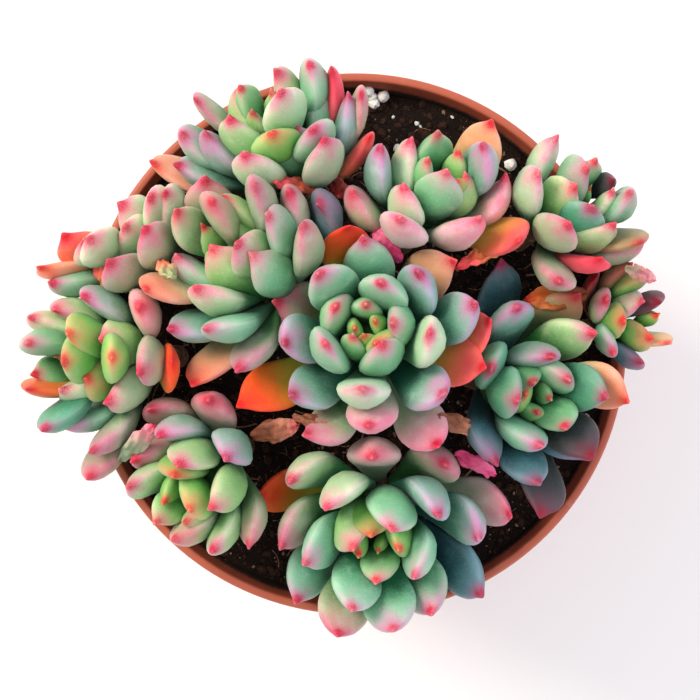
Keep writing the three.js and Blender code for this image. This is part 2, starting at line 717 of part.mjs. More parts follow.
// The assembly
const part = new THREE.Group();
function place(name, solid, material, lift) {
  const mesh = new THREE.Mesh(toGeometry(solid), material);
  mesh.name = name;
  mesh.position.z = lift;
  part.add(mesh);
}
place("pot", potSolid(), potPaint, 0);
place("soil", soilSolid(plants.map((p) => stemPath(p.rosette, p.frame))), soilPaint, 0);
plants.forEach(({ rosette }, i) => {
  place(`rosette_${rosette.name}`, rosetteSolids[i], leafPaint, POT.height);
});
witheredSolids.forEach((solid, i) => {
  place(`withered_leaf_${i + 1}`, solid, witheredPaint, POT.height);
});

export default part;
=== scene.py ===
# %% [markdown]
# # A pot of blue elf echeveria
# Eleven rosettes of plump leaves crowd a round terracotta-coloured plastic pot. This lesson
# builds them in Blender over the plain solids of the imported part. It starts by loading those
# solids, so that every finer piece can go exactly where its solid is.

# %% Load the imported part
import math
import random

import bmesh
import bpy
import numpy as np
from mathutils import Matrix, Vector, noise


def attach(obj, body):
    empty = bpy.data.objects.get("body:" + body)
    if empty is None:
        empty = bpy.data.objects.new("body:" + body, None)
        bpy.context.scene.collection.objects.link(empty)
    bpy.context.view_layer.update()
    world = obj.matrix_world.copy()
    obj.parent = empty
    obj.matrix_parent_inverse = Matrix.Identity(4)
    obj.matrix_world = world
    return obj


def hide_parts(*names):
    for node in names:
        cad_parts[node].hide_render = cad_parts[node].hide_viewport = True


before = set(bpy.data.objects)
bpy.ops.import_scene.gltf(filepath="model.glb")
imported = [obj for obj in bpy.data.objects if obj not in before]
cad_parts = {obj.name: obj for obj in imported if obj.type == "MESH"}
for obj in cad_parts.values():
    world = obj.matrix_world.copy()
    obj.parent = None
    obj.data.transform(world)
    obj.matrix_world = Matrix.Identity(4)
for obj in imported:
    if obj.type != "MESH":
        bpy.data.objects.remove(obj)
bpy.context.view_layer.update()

# %% [markdown]
# ## The camera
# The photograph looks straight down from well above the plants. The pot's rim is a circle in it,
# a little to the right of the middle, and its size gives the scale. So the camera hangs on the
# pot's axis, at a height at which the rim comes out as large as in the photograph, and its
# picture is shifted by the few units that the rim is off the middle.

# %% Sizes of the picture and of the pot
MM = 0.001
POT_HEIGHT = 120
PICTURE = 700
AXIS_X = 355.5
AXIS_Y = 343.9
UNIT = 0.3132
EYE = 700
SENSOR = 36

eye = bpy.data.cameras.new("eye")
eye.sensor_width = SENSOR
eye.lens = SENSOR * EYE / (PICTURE * UNIT)
eye.shift_x = (PICTURE / 2 - AXIS_X) / PICTURE
eye.shift_y = -(PICTURE / 2 - AXIS_Y) / PICTURE
camera = bpy.data.objects.new("camera", eye)
camera.location = (0, 0, (POT_HEIGHT + EYE) * MM)
bpy.context.collection.objects.link(camera)
bpy.context.scene.camera = camera
print("lens", round(eye.lens, 1), "mm, height over the table", round(camera.location.z, 3), "m")

# %% [markdown]
# ## Helpers for node trees
# Shapes that follow a rule and all finishes are node trees. A tree is easier to read when its
# sums look like sums, so a small class stands for a value in a tree: adding or multiplying two
# of them puts a Math node in the tree.

# %% A value in a node tree
class Value:
    """An output socket, on which plain sums add Math nodes."""

    def __init__(self, bench, socket):
        self.bench = bench
        self.socket = socket

    def __add__(self, other):
        return self.bench.maths("ADD", self, other)

    __radd__ = __add__

    def __sub__(self, other):
        return self.bench.maths("SUBTRACT", self, other)

    def __rsub__(self, other):
        return self.bench.maths("SUBTRACT", other, self)

    def __mul__(self, other):
        return self.bench.maths("MULTIPLY", self, other)

    __rmul__ = __mul__

    def __truediv__(self, other):
        return self.bench.maths("DIVIDE", self, other)

    def __pow__(self, other):
        return self.bench.maths("POWER", self, other)


# %% A bench on which a tree is put together
class Bench:
    """Adds nodes to one tree and joins them."""

    def __init__(self, tree):
        self.tree = tree

    def node(self, kind, inputs=None, **settings):
        made = self.tree.nodes.new(kind)
        for name, value in settings.items():
            setattr(made, name, value)
        for key, value in (inputs or {}).items():
            self.join(value, self.find(made.inputs, key))
        return made

    def find(self, sockets, key):
        if isinstance(key, int):
            return sockets[key]
        return [s for s in sockets if s.name == key and s.enabled][0]

    def join(self, value, socket):
        if isinstance(value, Value):
            value = value.socket
        if isinstance(value, bpy.types.NodeSocket):
            self.tree.links.new(value, socket)
        else:
            socket.default_value = value

    def maths(self, operation, *values):
        made = self.node("ShaderNodeMath", dict(enumerate(values)), operation=operation)
        return Value(self, made.outputs[0])

    def vectors(self, operation, *values):
        made = self.node("ShaderNodeVectorMath", dict(enumerate(values)), operation=operation)
        answer = "Value" if operation in ("LENGTH", "DISTANCE", "DOT_PRODUCT") else "Vector"
        return Value(self, made.outputs[answer])

    def stretch(self, vector, amount):
        made = self.node("ShaderNodeVectorMath", {0: vector, 3: amount}, operation="SCALE")
        return Value(self, made.outputs["Vector"])

    def smooth(self, value, low, high):
        made = self.node(
            "ShaderNodeMapRange",
            {"Value": value, "From Min": low, "From Max": high},
            interpolation_type="SMOOTHSTEP",
        )
        return Value(self, made.outputs["Result"])

    def parts(self, vector):
        made = self.node("ShaderNodeSeparateXYZ", {0: vector})
        return [Value(self, made.outputs[k]) for k in range(3)]

    def arrow(self, x, y, z):
        made = self.node("ShaderNodeCombineXYZ", {0: x, 1: y, 2: z})
        return Value(self, made.outputs[0])

    def grain(self, place, scale, detail=2.0, roughness=0.5, output="Fac"):
        made = self.node(
            "ShaderNodeTexNoise",
            {"Vector": place, "Scale": scale, "Detail": detail, "Roughness": roughness},
        )
        return Value(self, made.outputs[output])

    def blend(self, share, first, second):
        made = self.node(
            "ShaderNodeMix", {0: share, 6: first, 7: second}, data_type="RGBA", clamp_factor=True,
        )
        return Value(self, made.outputs[2])


# %% [markdown]
# Colours are given as they look on a screen, such as "#93c2a4", and Blender counts in
# amounts of light. One function turns the first into the second.

# %% Colours
def paint(look):
    """A screen colour such as #93c2a4 as amounts of light."""
    shares = [int(look[k:k + 2], 16) / 255 for k in (1, 3, 5)]
    light = [s / 12.92 if s <= 0.04045 else ((s + 0.055) / 1.055) ** 2.4 for s in shares]
    return (*light, 1.0)


# %% [markdown]
# ## Where each leaf is
# On the real plant the leaves stand in a spiral round the axis of their rosette, and all their
# tips lie on one shallow cup. The plan seen from above gives each tip's line of sight, and the
# cup gives its height. So the list below holds only where each tip and the widest part of its
# leaf are seen, and the rest is worked out. This is the same rule that placed the solids, so the
# finer leaves land on them. A fifth entry names a leaf whose colour isn't its rosette's own.

# %% The rosettes in plan
LEAF = {
    "width": 17.5, "young_width": 3.5, "full_width_at": 10, "widest": 0.66, "plumpness": 0.56,
    "young_plumpness": 0.8, "old_slimness": 0.65, "shortest": 12, "longest": 29,
    "longest_old": 34, "young_within": 9, "oldest": 1.1,
}
ROSETTE = {
    "reach": 31, "cup_rise": 0.95, "cup_fall": 0.035, "root_high": 8, "root_low": 22,
    "root_shift": 4, "root_weight": 0.3, "beyond_weight": 4, "search_up": 24, "search_steps": 70,
}
BELLY = {"from_tip": 0.38, "flattest": 0.2, "bend_at": 1.25, "first_drop": 0.7, "rounds": 4}
CORE = [(-24, 3.3), (-16, 8.5), (-10.5, 5)]
CORE_TOP = 8.5
SOIL_BELOW_RIM = 9.5
SOIL_ROUGHNESS = 1.1
POT_RIM = 85
POT_WALL = 2.9

ROSETTES = [
    {
        "name": "middle", "heart": (365, 327), "over": 46, "toward": 120,
        "lean": 16, "size": 1.0, "finish": "mint",
        "tips": [
            (364, 335, 369, 342, "young"), (375, 321, 377, 325, "young"),
            (355, 328, 356, 328, "young"), (376, 343, 384, 341, "young"), (353, 336, 352, 350),
            (366, 305, 366, 309), (392, 323, 402, 322), (386, 351, 385, 365, "mint"),
            (336, 307, 334, 314), (379, 279, 384, 288), (427, 330, 432, 341, "cream"),
            (361, 382, 361, 394, "cream"), (321, 349, 321, 356, "mint"), (325, 273, 335, 282),
            (419, 279, 424, 291, "lilac"), (443, 392, 428, 392, "lilac"),
            (367, 423, 372, 420, "pink"), (290, 342, 300, 336, "lilac"),
            (472, 304, 460, 318, "lilac"), (293, 392, 312, 390, "lilac"), (358, 236, 365, 262),
            (271, 297, 295, 300, "rosy"), (437, 445, 425, 433, "pink"),
            (308, 433, 335, 432, "rosy"),
        ],
        "old": [
            (448, 251, 423, 262, "peach"), (240, 405, 268, 388, "orange"),
            (341, 222, 335, 236, "orange"), (499, 325, 485, 342, "coral"),
            (486, 366, 460, 362, "coral"),
        ],
    },
    {
        "name": "left_of_middle", "heart": (231, 247), "over": 33, "toward": 138,
        "lean": 54, "size": 1.0, "finish": "sunlit",
        "tips": [
            (224, 248, 238, 251, "young"), (243, 238, 254, 250), (212, 251, 216, 268),
            (221, 256, 238, 277), (231, 226, 247, 233), (252, 243, 277, 268, "mint"),
            (203, 227, 212, 246), (256, 220, 275, 232, "mint"), (226, 201, 243, 214),
            (176, 261, 190, 278, "mint"), (197, 279, 212, 296, "cream"),
            (174, 212, 187, 230, "rosy"), (277, 196, 288, 210, "rosy"),
            (308, 223, 312, 245, "rosy"), (197, 183, 200, 203, "rosy"),
            (222, 192, 221, 208, "rosy"), (258, 188, 262, 200, "rosy"),
            (205, 324, 228, 328, "mint"), (164, 331, 190, 330, "lilac"),
            (238, 367, 254, 348, "rosy"), (313, 208, 332, 208, "blue"),
        ],
        "old": [
            (188, 387, 206, 368, "salmon"), (146, 286, 160, 289, "salmon"),
        ],
    },
    {
        "name": "upper_middle", "heart": (440, 172), "over": 30, "toward": 62,
        "lean": 42, "size": 1.0, "finish": "sunlit",
        "tips": [
            (455, 181, 453, 192, "young"), (428, 160, 425, 176, "mint"),
            (438, 175, 434, 198, "mint"), (458, 153, 456, 172), (405, 151, 402, 176, "cream"),
            (465, 176, 468, 202), (400, 180, 404, 206, "cream"), (438, 134, 434, 155, "deep"),
            (489, 147, 491, 170, "lilac"), (503, 177, 499, 208, "pink"),
            (475, 218, 458, 235, "pink"), (410, 221, 410, 233, "pink"),
            (383, 151, 378, 175, "lilac"), (359, 192, 364, 210, "rosy"),
        ],
        "old": [
            (490, 124, 485, 150, "peach"), (526, 236, 521, 236, "coral"),
        ],
    },
    {
        "name": "right", "heart": (533, 397), "over": 24, "toward": -18,
        "lean": 34, "size": 1.0, "finish": "deep",
        "tips": [
            (526, 394, 523, 397, "young"), (534, 383, 524, 380), (550, 399, 543, 392, "mint"),
            (538, 412, 532, 411), (568, 380, 555, 375, "mint"), (514, 398, 506, 391),
            (548, 356, 532, 354, "lilac"), (565, 427, 558, 412), (535, 448, 519, 435, "mint"),
            (605, 398, 583, 386), (594, 335, 566, 335, "sunlit"), (582, 460, 562, 440, "blue"),
            (518, 309, 512, 318, "lilac"), (503, 457, 487, 430, "blue"),
            (540, 487, 524, 468, "blue"), (488, 368, 490, 362, "deep"),
            (587, 300, 565, 312, "scabbed"),
        ],
        "old": [
            (627, 398, 609, 378, "salmon"), (501, 262, 500, 292, "blue"),
            (591, 454, 577, 433, "plum"), (543, 503, 550, 478, "plum"),
        ],
    },
    {
        "name": "upper_left", "heart": (275, 124), "over": 22, "toward": 112,
        "lean": 56, "size": 1.0, "finish": "sunlit",
        "tips": [
            (273, 130, 277, 141, "young"), (273, 121, 279, 130, "young"),
            (292, 108, 292, 121, "cream"), (253, 112, 258, 127), (295, 117, 304, 132, "mint"),
            (290, 125, 291, 152, "mint"), (245, 124, 252, 146, "sunlit"), (272, 93, 277, 113),
            (304, 92, 317, 115, "mint"), (233, 101, 238, 122), (212, 132, 220, 154, "lilac"),
            (248, 150, 258, 170, "cream"), (323, 138, 325, 162, "rosy"),
            (346, 100, 348, 130, "lilac"), (296, 77, 302, 96), (190, 130, 200, 145, "mint"),
            (241, 88, 250, 104, "mint"), (303, 69, 311, 86, "mint"), (179, 165, 205, 174, "lilac"),
        ],
        "old": [
            (353, 91, 358, 110, "rosy"), (373, 138, 362, 158, "coral"),
            (196, 106, 211, 118, "rosy"), (153, 164, 174, 178, "salmon"), (325, 75, 333, 98, "red"),
        ],
    },
    {
        "name": "upper_right", "heart": (585, 192), "over": 20, "toward": 36,
        "lean": 46, "size": 0.95, "finish": "mint",
        "tips": [
            (590, 188, 585, 198), (592, 208, 582, 220, "deep"), (576, 174, 567, 181),
            (576, 191, 561, 203, "sunlit"), (612, 191, 605, 207, "cream"), (595, 161, 586, 178),
            (542, 177, 531, 193, "cream"), (564, 221, 552, 233, "rosy"),
            (613, 222, 593, 238, "sunlit"), (561, 146, 545, 166, "cream"),
            (630, 192, 624, 208, "lilac"), (637, 236, 618, 250, "rosy"),
            (563, 272, 558, 269, "rosy"), (613, 180, 606, 183, "plum"),
        ],
        "old": [
            (643, 241, 628, 243, "scabbed"), (599, 262, 586, 272, "red"),
        ],
    },
    {
        "name": "bottom", "heart": (374, 545), "over": 20, "toward": -92,
        "lean": 34, "size": 1.05, "finish": "mint",
        "tips": [
            (371, 535, 371, 519, "young"), (378, 551, 380, 541, "young"),
            (359, 555, 361, 540, "young"), (398, 549, 399, 536, "young"),
            (347, 540, 349, 521, "sunlit"), (388, 530, 391, 508), (376, 581, 381, 562),
            (319, 566, 333, 545), (332, 511, 347, 490, "cream"), (416, 577, 426, 553),
            (434, 518, 432, 496, "lilac"), (350, 610, 353, 589), (284, 546, 297, 519, "rosy"),
            (298, 600, 306, 570, "mint"), (421, 610, 424, 590, "mint"),
            (372, 459, 374, 448, "pink"), (291, 482, 306, 465, "cream"),
            (476, 542, 473, 520, "lilac"), (345, 630, 345, 613, "rosy"),
            (392, 628, 391, 612, "mint"), (479, 590, 468, 570, "blue"),
            (444, 465, 442, 458, "rosy"),
        ],
        "old": [
            (255, 498, 276, 487, "orange"), (510, 515, 495, 497, "pink"),
        ],
    },
    {
        "name": "lower_left", "heart": (186, 496), "over": 20, "toward": -140,
        "lean": 42, "size": 0.95, "finish": "sunlit",
        "tips": [
            (190, 498, 189, 489, "young"), (198, 498, 200, 490, "young"),
            (170, 477, 178, 467, "young"), (180, 473, 193, 458, "sunlit"), (164, 502, 172, 486, "young"),
            (204, 509, 226, 490), (185, 522, 199, 515), (222, 461, 232, 443, "lilac"),
            (159, 439, 178, 426, "lilac"), (156, 522, 168, 508), (137, 465, 155, 453, "rosy"),
            (183, 538, 200, 530, "rosy"), (211, 543, 225, 530), (240, 541, 248, 515, "rosy"),
            (129, 478, 147, 475), (204, 403, 210, 406, "pink"), (146, 410, 162, 408, "rosy"),
        ],
        "old": [],
    },
    {
        "name": "left", "heart": (84, 360), "over": 16, "toward": 182,
        "lean": 55, "size": 0.98, "finish": "sunlit",
        "tips": [
            (88, 352, 93, 352, "young"), (99, 362, 103, 361, "young"), (76, 340, 90, 338, "young"),
            (88, 344, 112, 345), (78, 369, 88, 366, "young"), (87, 372, 99, 374, "young"),
            (57, 356, 69, 352, "young"), (95, 387, 121, 381, "cream"), (62, 389, 80, 393, "cream"),
            (56, 315, 76, 314), (85, 304, 106, 304, "lilac"), (140, 366, 152, 354, "rosy"),
            (64, 427, 92, 423, "mint"), (40, 317, 58, 325), (34, 374, 53, 372, "mint"),
            (49, 427, 64, 414, "deep"), (98, 446, 118, 435, "rosy"), (30, 333, 42, 338, "mint"),
            (135, 306, 141, 308, "pink"), (92, 474, 107, 462, "rosy"),
        ],
        "old": [
            (29, 395, 46, 394, "orange"), (173, 363, 171, 371, "orange"),
        ],
    },
    {
        "name": "far_upper_left", "heart": (106, 228), "over": 10, "toward": 148,
        "lean": 72, "size": 0.95, "finish": "sunlit",
        "tips": [
            (141, 226, 154, 244, "rosy"), (107, 234, 124, 253, "cream"), (118, 224, 128, 234, "cream"),
            (129, 210, 143, 222, "cream"), (120, 268, 131, 281, "rosy"),
            (95, 235, 102, 246, "cream"), (148, 201, 156, 210, "cream"),
            (163, 189, 173, 203, "cream"), (86, 248, 92, 254, "cream"), (52, 279, 73, 284, "mint"),
        ],
        "old": [
            (72, 253, 84, 264, "coral"), (48, 267, 68, 273, "salmon"),
        ],
    },
    {
        "name": "small_right", "heart": (640, 325), "over": 8, "toward": 5,
        "lean": 45, "size": 0.72, "finish": "young",
        "tips": [
            (626, 322, 617, 321), (641, 338, 629, 336), (636, 303, 622, 305, "cream"),
            (657, 315, 647, 320), (620, 349, 611, 337, "mint"), (607, 301, 601, 305, "sunlit"),
            (644, 283, 630, 285), (641, 354, 628, 352, "blue"), (628, 266, 614, 276, "scabbed"),
            (650, 296, 642, 297, "plum"),
        ],
        "old": [
            (669, 343, 656, 339, "peach"), (601, 281, 590, 286, "withered"),
        ],
    },
]

# %% [markdown]
# A place in the picture becomes a point in space once its height over the rim is known. The
# eye is near enough that a high leaf looks larger than a low one, so the height counts.

# %% From the plan to points in space
def seen_at(place, over):
    """The point over the rim's middle, in millimetres, that is seen at a place of the plan."""
    k = UNIT * (EYE - over) / EYE
    return np.array([(place[0] - AXIS_X) * k, -(place[1] - AXIS_Y) * k, over])


def rosette_frame(rosette):
    """A rosette's own directions: up its axis, downhill and across, and its heart."""
    azimuth = math.radians(rosette["toward"])
    lean = math.radians(rosette["lean"])
    level = np.array([math.cos(azimuth), math.sin(azimuth), 0.0])
    upright = np.array([0.0, 0.0, 1.0])
    up = level * math.sin(lean) + upright * math.cos(lean)
    downhill = level * math.cos(lean) - upright * math.sin(lean)
    heart = seen_at(rosette["heart"], rosette["over"])
    return {"up": up, "downhill": downhill, "across": np.cross(up, downhill), "heart": heart}


def cup(radius, size):
    """Height of the leaf tips over the heart, at a distance from the rosette's axis."""
    r = radius / size
    return size * (ROSETTE["cup_rise"] * r - ROSETTE["cup_fall"] * r * r)


def seen_belly(tip, entry, length):
    """Where a leaf is widest: on its line of sight, at the leaf's own distance from its tip."""
    away = BELLY["from_tip"] * length
    drop = BELLY["first_drop"] * away
    for _ in range(BELLY["rounds"]):
        belly = seen_at(entry[2:4], tip[2] - drop)
        level = math.hypot(*(belly - tip)[:2])
        drop = math.sqrt(max((BELLY["flattest"] * away) ** 2, away * away - level * level))
    return seen_at(entry[2:4], tip[2] - drop)


def leaf_size(rosette, radius, old):
    """How far grown a leaf is, from 0 to 1, and its length, by its tip's distance from the axis."""
    growth = min(1.0, radius / (LEAF["full_width_at"] * rosette["size"]))
    longest = LEAF["longest_old"] if old else LEAF["longest"]
    return growth, rosette["size"] * (LEAF["shortest"] + (longest - LEAF["shortest"]) * growth)


# %% One leaf's tip, belly and root
def try_tip(rosette, axes, entry, old, over):
    """A leaf with its tip at one height: how badly it fits the cup and the stem, and its points."""
    tip = seen_at(entry[:2], over)
    from_heart = tip - axes["heart"]
    height = float(from_heart @ axes["up"])
    u = float(from_heart @ axes["downhill"])
    v = float(from_heart @ axes["across"])
    radius = math.hypot(u, v)
    reach = ROSETTE["reach"] * rosette["size"]
    growth, length = leaf_size(rosette, radius, old)
    belly = seen_belly(tip, entry, length)
    end = tip + (belly - tip) / BELLY["from_tip"]
    low, high = (-ROSETTE[key] * rosette["size"] for key in ("root_low", "root_high"))
    along_axis = min(high, max(low, float((end - axes["heart"]) @ axes["up"])))
    on_axis = axes["heart"] + axes["up"] * along_axis
    miss = (abs(height - cup(radius, rosette["size"])) ** 2
            + ROSETTE["root_weight"] * float((end - on_axis) @ (end - on_axis))
            + ROSETTE["beyond_weight"] * max(0.0, radius - reach) ** 2)
    away = end - on_axis
    root = on_axis + away * min(1.0, ROSETTE["root_shift"] * rosette["size"] / np.linalg.norm(away))
    return {"miss": miss, "tip": tip, "belly": belly, "root": root, "radius": radius,
            "growth": growth, "length": length, "angle": math.atan2(v, u)}


def place_leaf(rosette, axes, entry, old):
    """A leaf's root on the stem, its tip where it is seen, and the point that bends it up."""
    size = rosette["size"]
    highest = rosette["over"] + ROSETTE["search_up"]
    tries = [try_tip(rosette, axes, entry, old, highest - drop)
             for drop in range(ROSETTE["search_steps"])]
    best = min(tries, key=lambda one: one["miss"])
    growth = best["growth"]
    tip, belly, root = best["tip"], best["belly"], best["root"]
    bend = tip + (belly - tip) * BELLY["bend_at"]
    outward = axes["downhill"] * math.cos(best["angle"]) + axes["across"] * math.sin(best["angle"])
    side = np.cross(axes["up"], outward)
    chord = (tip - belly) / np.linalg.norm(tip - belly)
    side = side - chord * (side @ chord)
    full = LEAF["young_width"] + (LEAF["width"] - LEAF["young_width"]) * growth
    width = min(size * full, LEAF["widest"] * best["length"])
    plumpness = LEAF["young_plumpness"] + (LEAF["plumpness"] - LEAF["young_plumpness"]) * growth
    slim = LEAF["old_slimness"] if old else 1.0
    return {
        "rosette": rosette["name"],
        "root": root,
        "bend": bend,
        "tip": tip,
        "side": side / np.linalg.norm(side),
        "width": width,
        "thickness": width * plumpness * slim,
        "age": min(LEAF["oldest"], best["radius"] / (ROSETTE["reach"] * size)),
        "old": old,
        "young": best["radius"] < LEAF["young_within"] * size,
        "growth": growth,
        "finish": entry[4] if len(entry) > 4 else rosette["finish"],
    }


leaves = []
axes_of = {}
for rosette in ROSETTES:
    axes = rosette_frame(rosette)
    axes_of[rosette["name"]] = axes
    leaves += [place_leaf(rosette, axes, entry, False) for entry in rosette["tips"]]
    leaves += [place_leaf(rosette, axes, entry, True) for entry in rosette["old"]]
print(len(leaves), "leaves placed in", len(ROSETTES), "rosettes")

# %% [markdown]
# Leaves of neighbouring rosettes press on each other and bend out of the way. Here each leaf
# is stood for by twelve balls. Where the balls of two leaves meet, both leaves are pushed
# apart a little, mostly up and down, and this is done over and over. A leaf is also lifted off
# the rim and the soil. The rise follows the line of sight, so the plan hardly changes.

# %% Leaves moved clear of each other
BALL_PLACES = [(0.5, 0.88), (0.68, 1.0), (0.84, 0.9), (0.95, 0.6)]
CLEARING = {
    "rounds": 60, "share": 0.45, "sideways": 0.1, "room": 0.4, "same": 0.3, "step": 1.5, "most": 7,
    "near": 12, "lift": 0.7, "bend": 0.6,
}


def leaf_balls(root, bend, tip, side, width, thickness):
    """The middle and the radius of twelve balls along each leaf."""
    middles = []
    radii = []
    for t, share in BALL_PLACES:
        centre = root * (1 - t) ** 2 + bend * (2 * t * (1 - t)) + tip * (t * t)
        for across in (-1, 0, 1):
            middles.append(centre + side * (across * (width - thickness) / 2 * share)[:, None])
            radii.append(thickness / 2 * share)
    return np.stack(middles, axis=1), np.stack(radii, axis=1)


def move_clear(leaves):
    """Bends the leaves apart, in place."""
    root, bend, tip, side = (np.array([leaf[k] for leaf in leaves])
                             for k in ("root", "bend", "tip", "side"))
    width, thickness = (np.array([leaf[k] for leaf in leaves]) for k in ("width", "thickness"))
    young = np.array([leaf["young"] for leaf in leaves])
    names = np.array([leaf["rosette"] for leaf in leaves])
    first, second = np.triu_indices(len(leaves), 1)
    same = names[first] == names[second]
    kept = ~(same & (young[first] | young[second]))
    pushed = np.zeros(len(leaves))
    first, second, same = first[kept], second[kept], same[kept]
    for _ in range(CLEARING["rounds"]):
        middles, radii = leaf_balls(root, bend, tip, side, width, thickness)
        apart = np.linalg.norm(middles[first, 4] - middles[second, 4], axis=1)
        near = apart <= width[first] + width[second] + CLEARING["near"]
        a, b = first[near], second[near]
        ways = middles[a][:, :, None] - middles[b][:, None]
        gaps = np.linalg.norm(ways, axis=3)
        depth = radii[a][:, :, None] + radii[b][:, None] + CLEARING["room"] - gaps
        flat = depth.reshape(len(a), -1)
        worst = flat.argmax(axis=1)
        rows = np.arange(len(a))
        deepest = np.maximum(flat[rows, worst], 0.0)
        way = ways.reshape(len(a), -1, 3)[rows, worst]
        way = way / np.maximum(gaps.reshape(len(a), -1)[rows, worst], 0.01)[:, None]
        strength = deepest * CLEARING["share"] * np.where(same[near], CLEARING["same"], 1.0)
        push = way * strength[:, None] * np.array([CLEARING["sideways"]] * 2 + [1.0])
        pushes = np.zeros_like(tip)
        np.add.at(pushes, a, push)
        np.add.at(pushes, b, -push)
        from_axis = np.hypot(middles[:, :, 0], middles[:, :, 1])
        over_rim = from_axis > POT_RIM - POT_WALL - radii
        lowest = np.where(over_rim, 0.0, SOIL_ROUGHNESS - SOIL_BELOW_RIM) + radii + CLEARING["room"]
        lift = np.maximum(0.0, lowest - middles[:, :, 2]).max(axis=1)
        allowed = np.clip(pushed + pushes[:, 2], -CLEARING["most"], CLEARING["most"])
        rise = allowed - pushed + lift * CLEARING["lift"]
        rise = np.clip(rise, -CLEARING["step"], CLEARING["step"])
        pushed = allowed
        sight = rise / (EYE - tip[:, 2])
        step = np.column_stack([pushes[:, :2] - tip[:, :2] * sight[:, None], rise])
        tip = tip + step
        bend = bend + step * CLEARING["bend"]
    for k, leaf in enumerate(leaves):
        leaf["bend"], leaf["tip"] = bend[k], tip[k]


move_clear(leaves)
highest = max(leaf["tip"][2] for leaf in leaves)
print("highest leaf tip", round(POT_HEIGHT + highest, 1), "mm over the table")

# %% [markdown]
# ## One leaf as a node tree
# A leaf is a plump blade: narrow where it leaves the stem, widest past its middle, blunt at the
# end, with a small hard point. It could be sculpted, but there are over two hundred, each bent
# its own way. So a Geometry Nodes tree takes one closed ball for each leaf and moves its
# points to the leaf's own midline. Every leaf comes as a point that carries its root, bend,
# tip, side and sizes as attributes. The same tree makes the withered leaves, with a ruffle.

# %% The leaf tree: its inputs
def new_tree(name, sizes):
    """A Geometry Nodes tree with a geometry in and out, and an input for each size."""
    tree = bpy.data.node_groups.new(name, "GeometryNodeTree")
    tree.interface.new_socket("Geometry", in_out="INPUT", socket_type="NodeSocketGeometry")
    tree.interface.new_socket("Geometry", in_out="OUTPUT", socket_type="NodeSocketGeometry")
    for size, value in sizes.items():
        kind = {int: "NodeSocketInt", float: "NodeSocketFloat"}.get(type(value), "NodeSocketMaterial")
        socket = tree.interface.new_socket(size, in_out="INPUT", socket_type=kind)
        if value is not None:
            socket.default_value = value
    return tree


LEAF_TREE_SIZES = {
    "Sides": 18, "Rings": 20, "Root share": 0.3, "Widest at": 0.68, "Bluntness": 5.4,
    "Dish": 0.16, "Lump height": 0.00035, "Point length": 0.0018, "Ruffle height": 0.0,
    "Finish": None,
}


# %% The leaf tree: the shape
BLADE = {
    "ring_bunching": 1.8, "root_closes_in": 0.04, "lens_power": 3.0, "lens_roundness": 0.75,
    "fullness": 1.15, "flat_top": 0.14, "keel_sharpness": 6, "dish_from": 0.95, "dish_full": 0.35,
    "lean_from": 0.5, "lean_full": 0.95, "point_from": 0.8, "point_full": 0.95, "point_width": 0.2,
}


def paint_and_end(bench, geometry, finish):
    """The last two nodes of every tree: the finish, and the way out."""
    painted = bench.node("GeometryNodeSetMaterial", {"Geometry": geometry, "Material": finish})
    bench.node("NodeGroupOutput", {0: painted.outputs[0]})


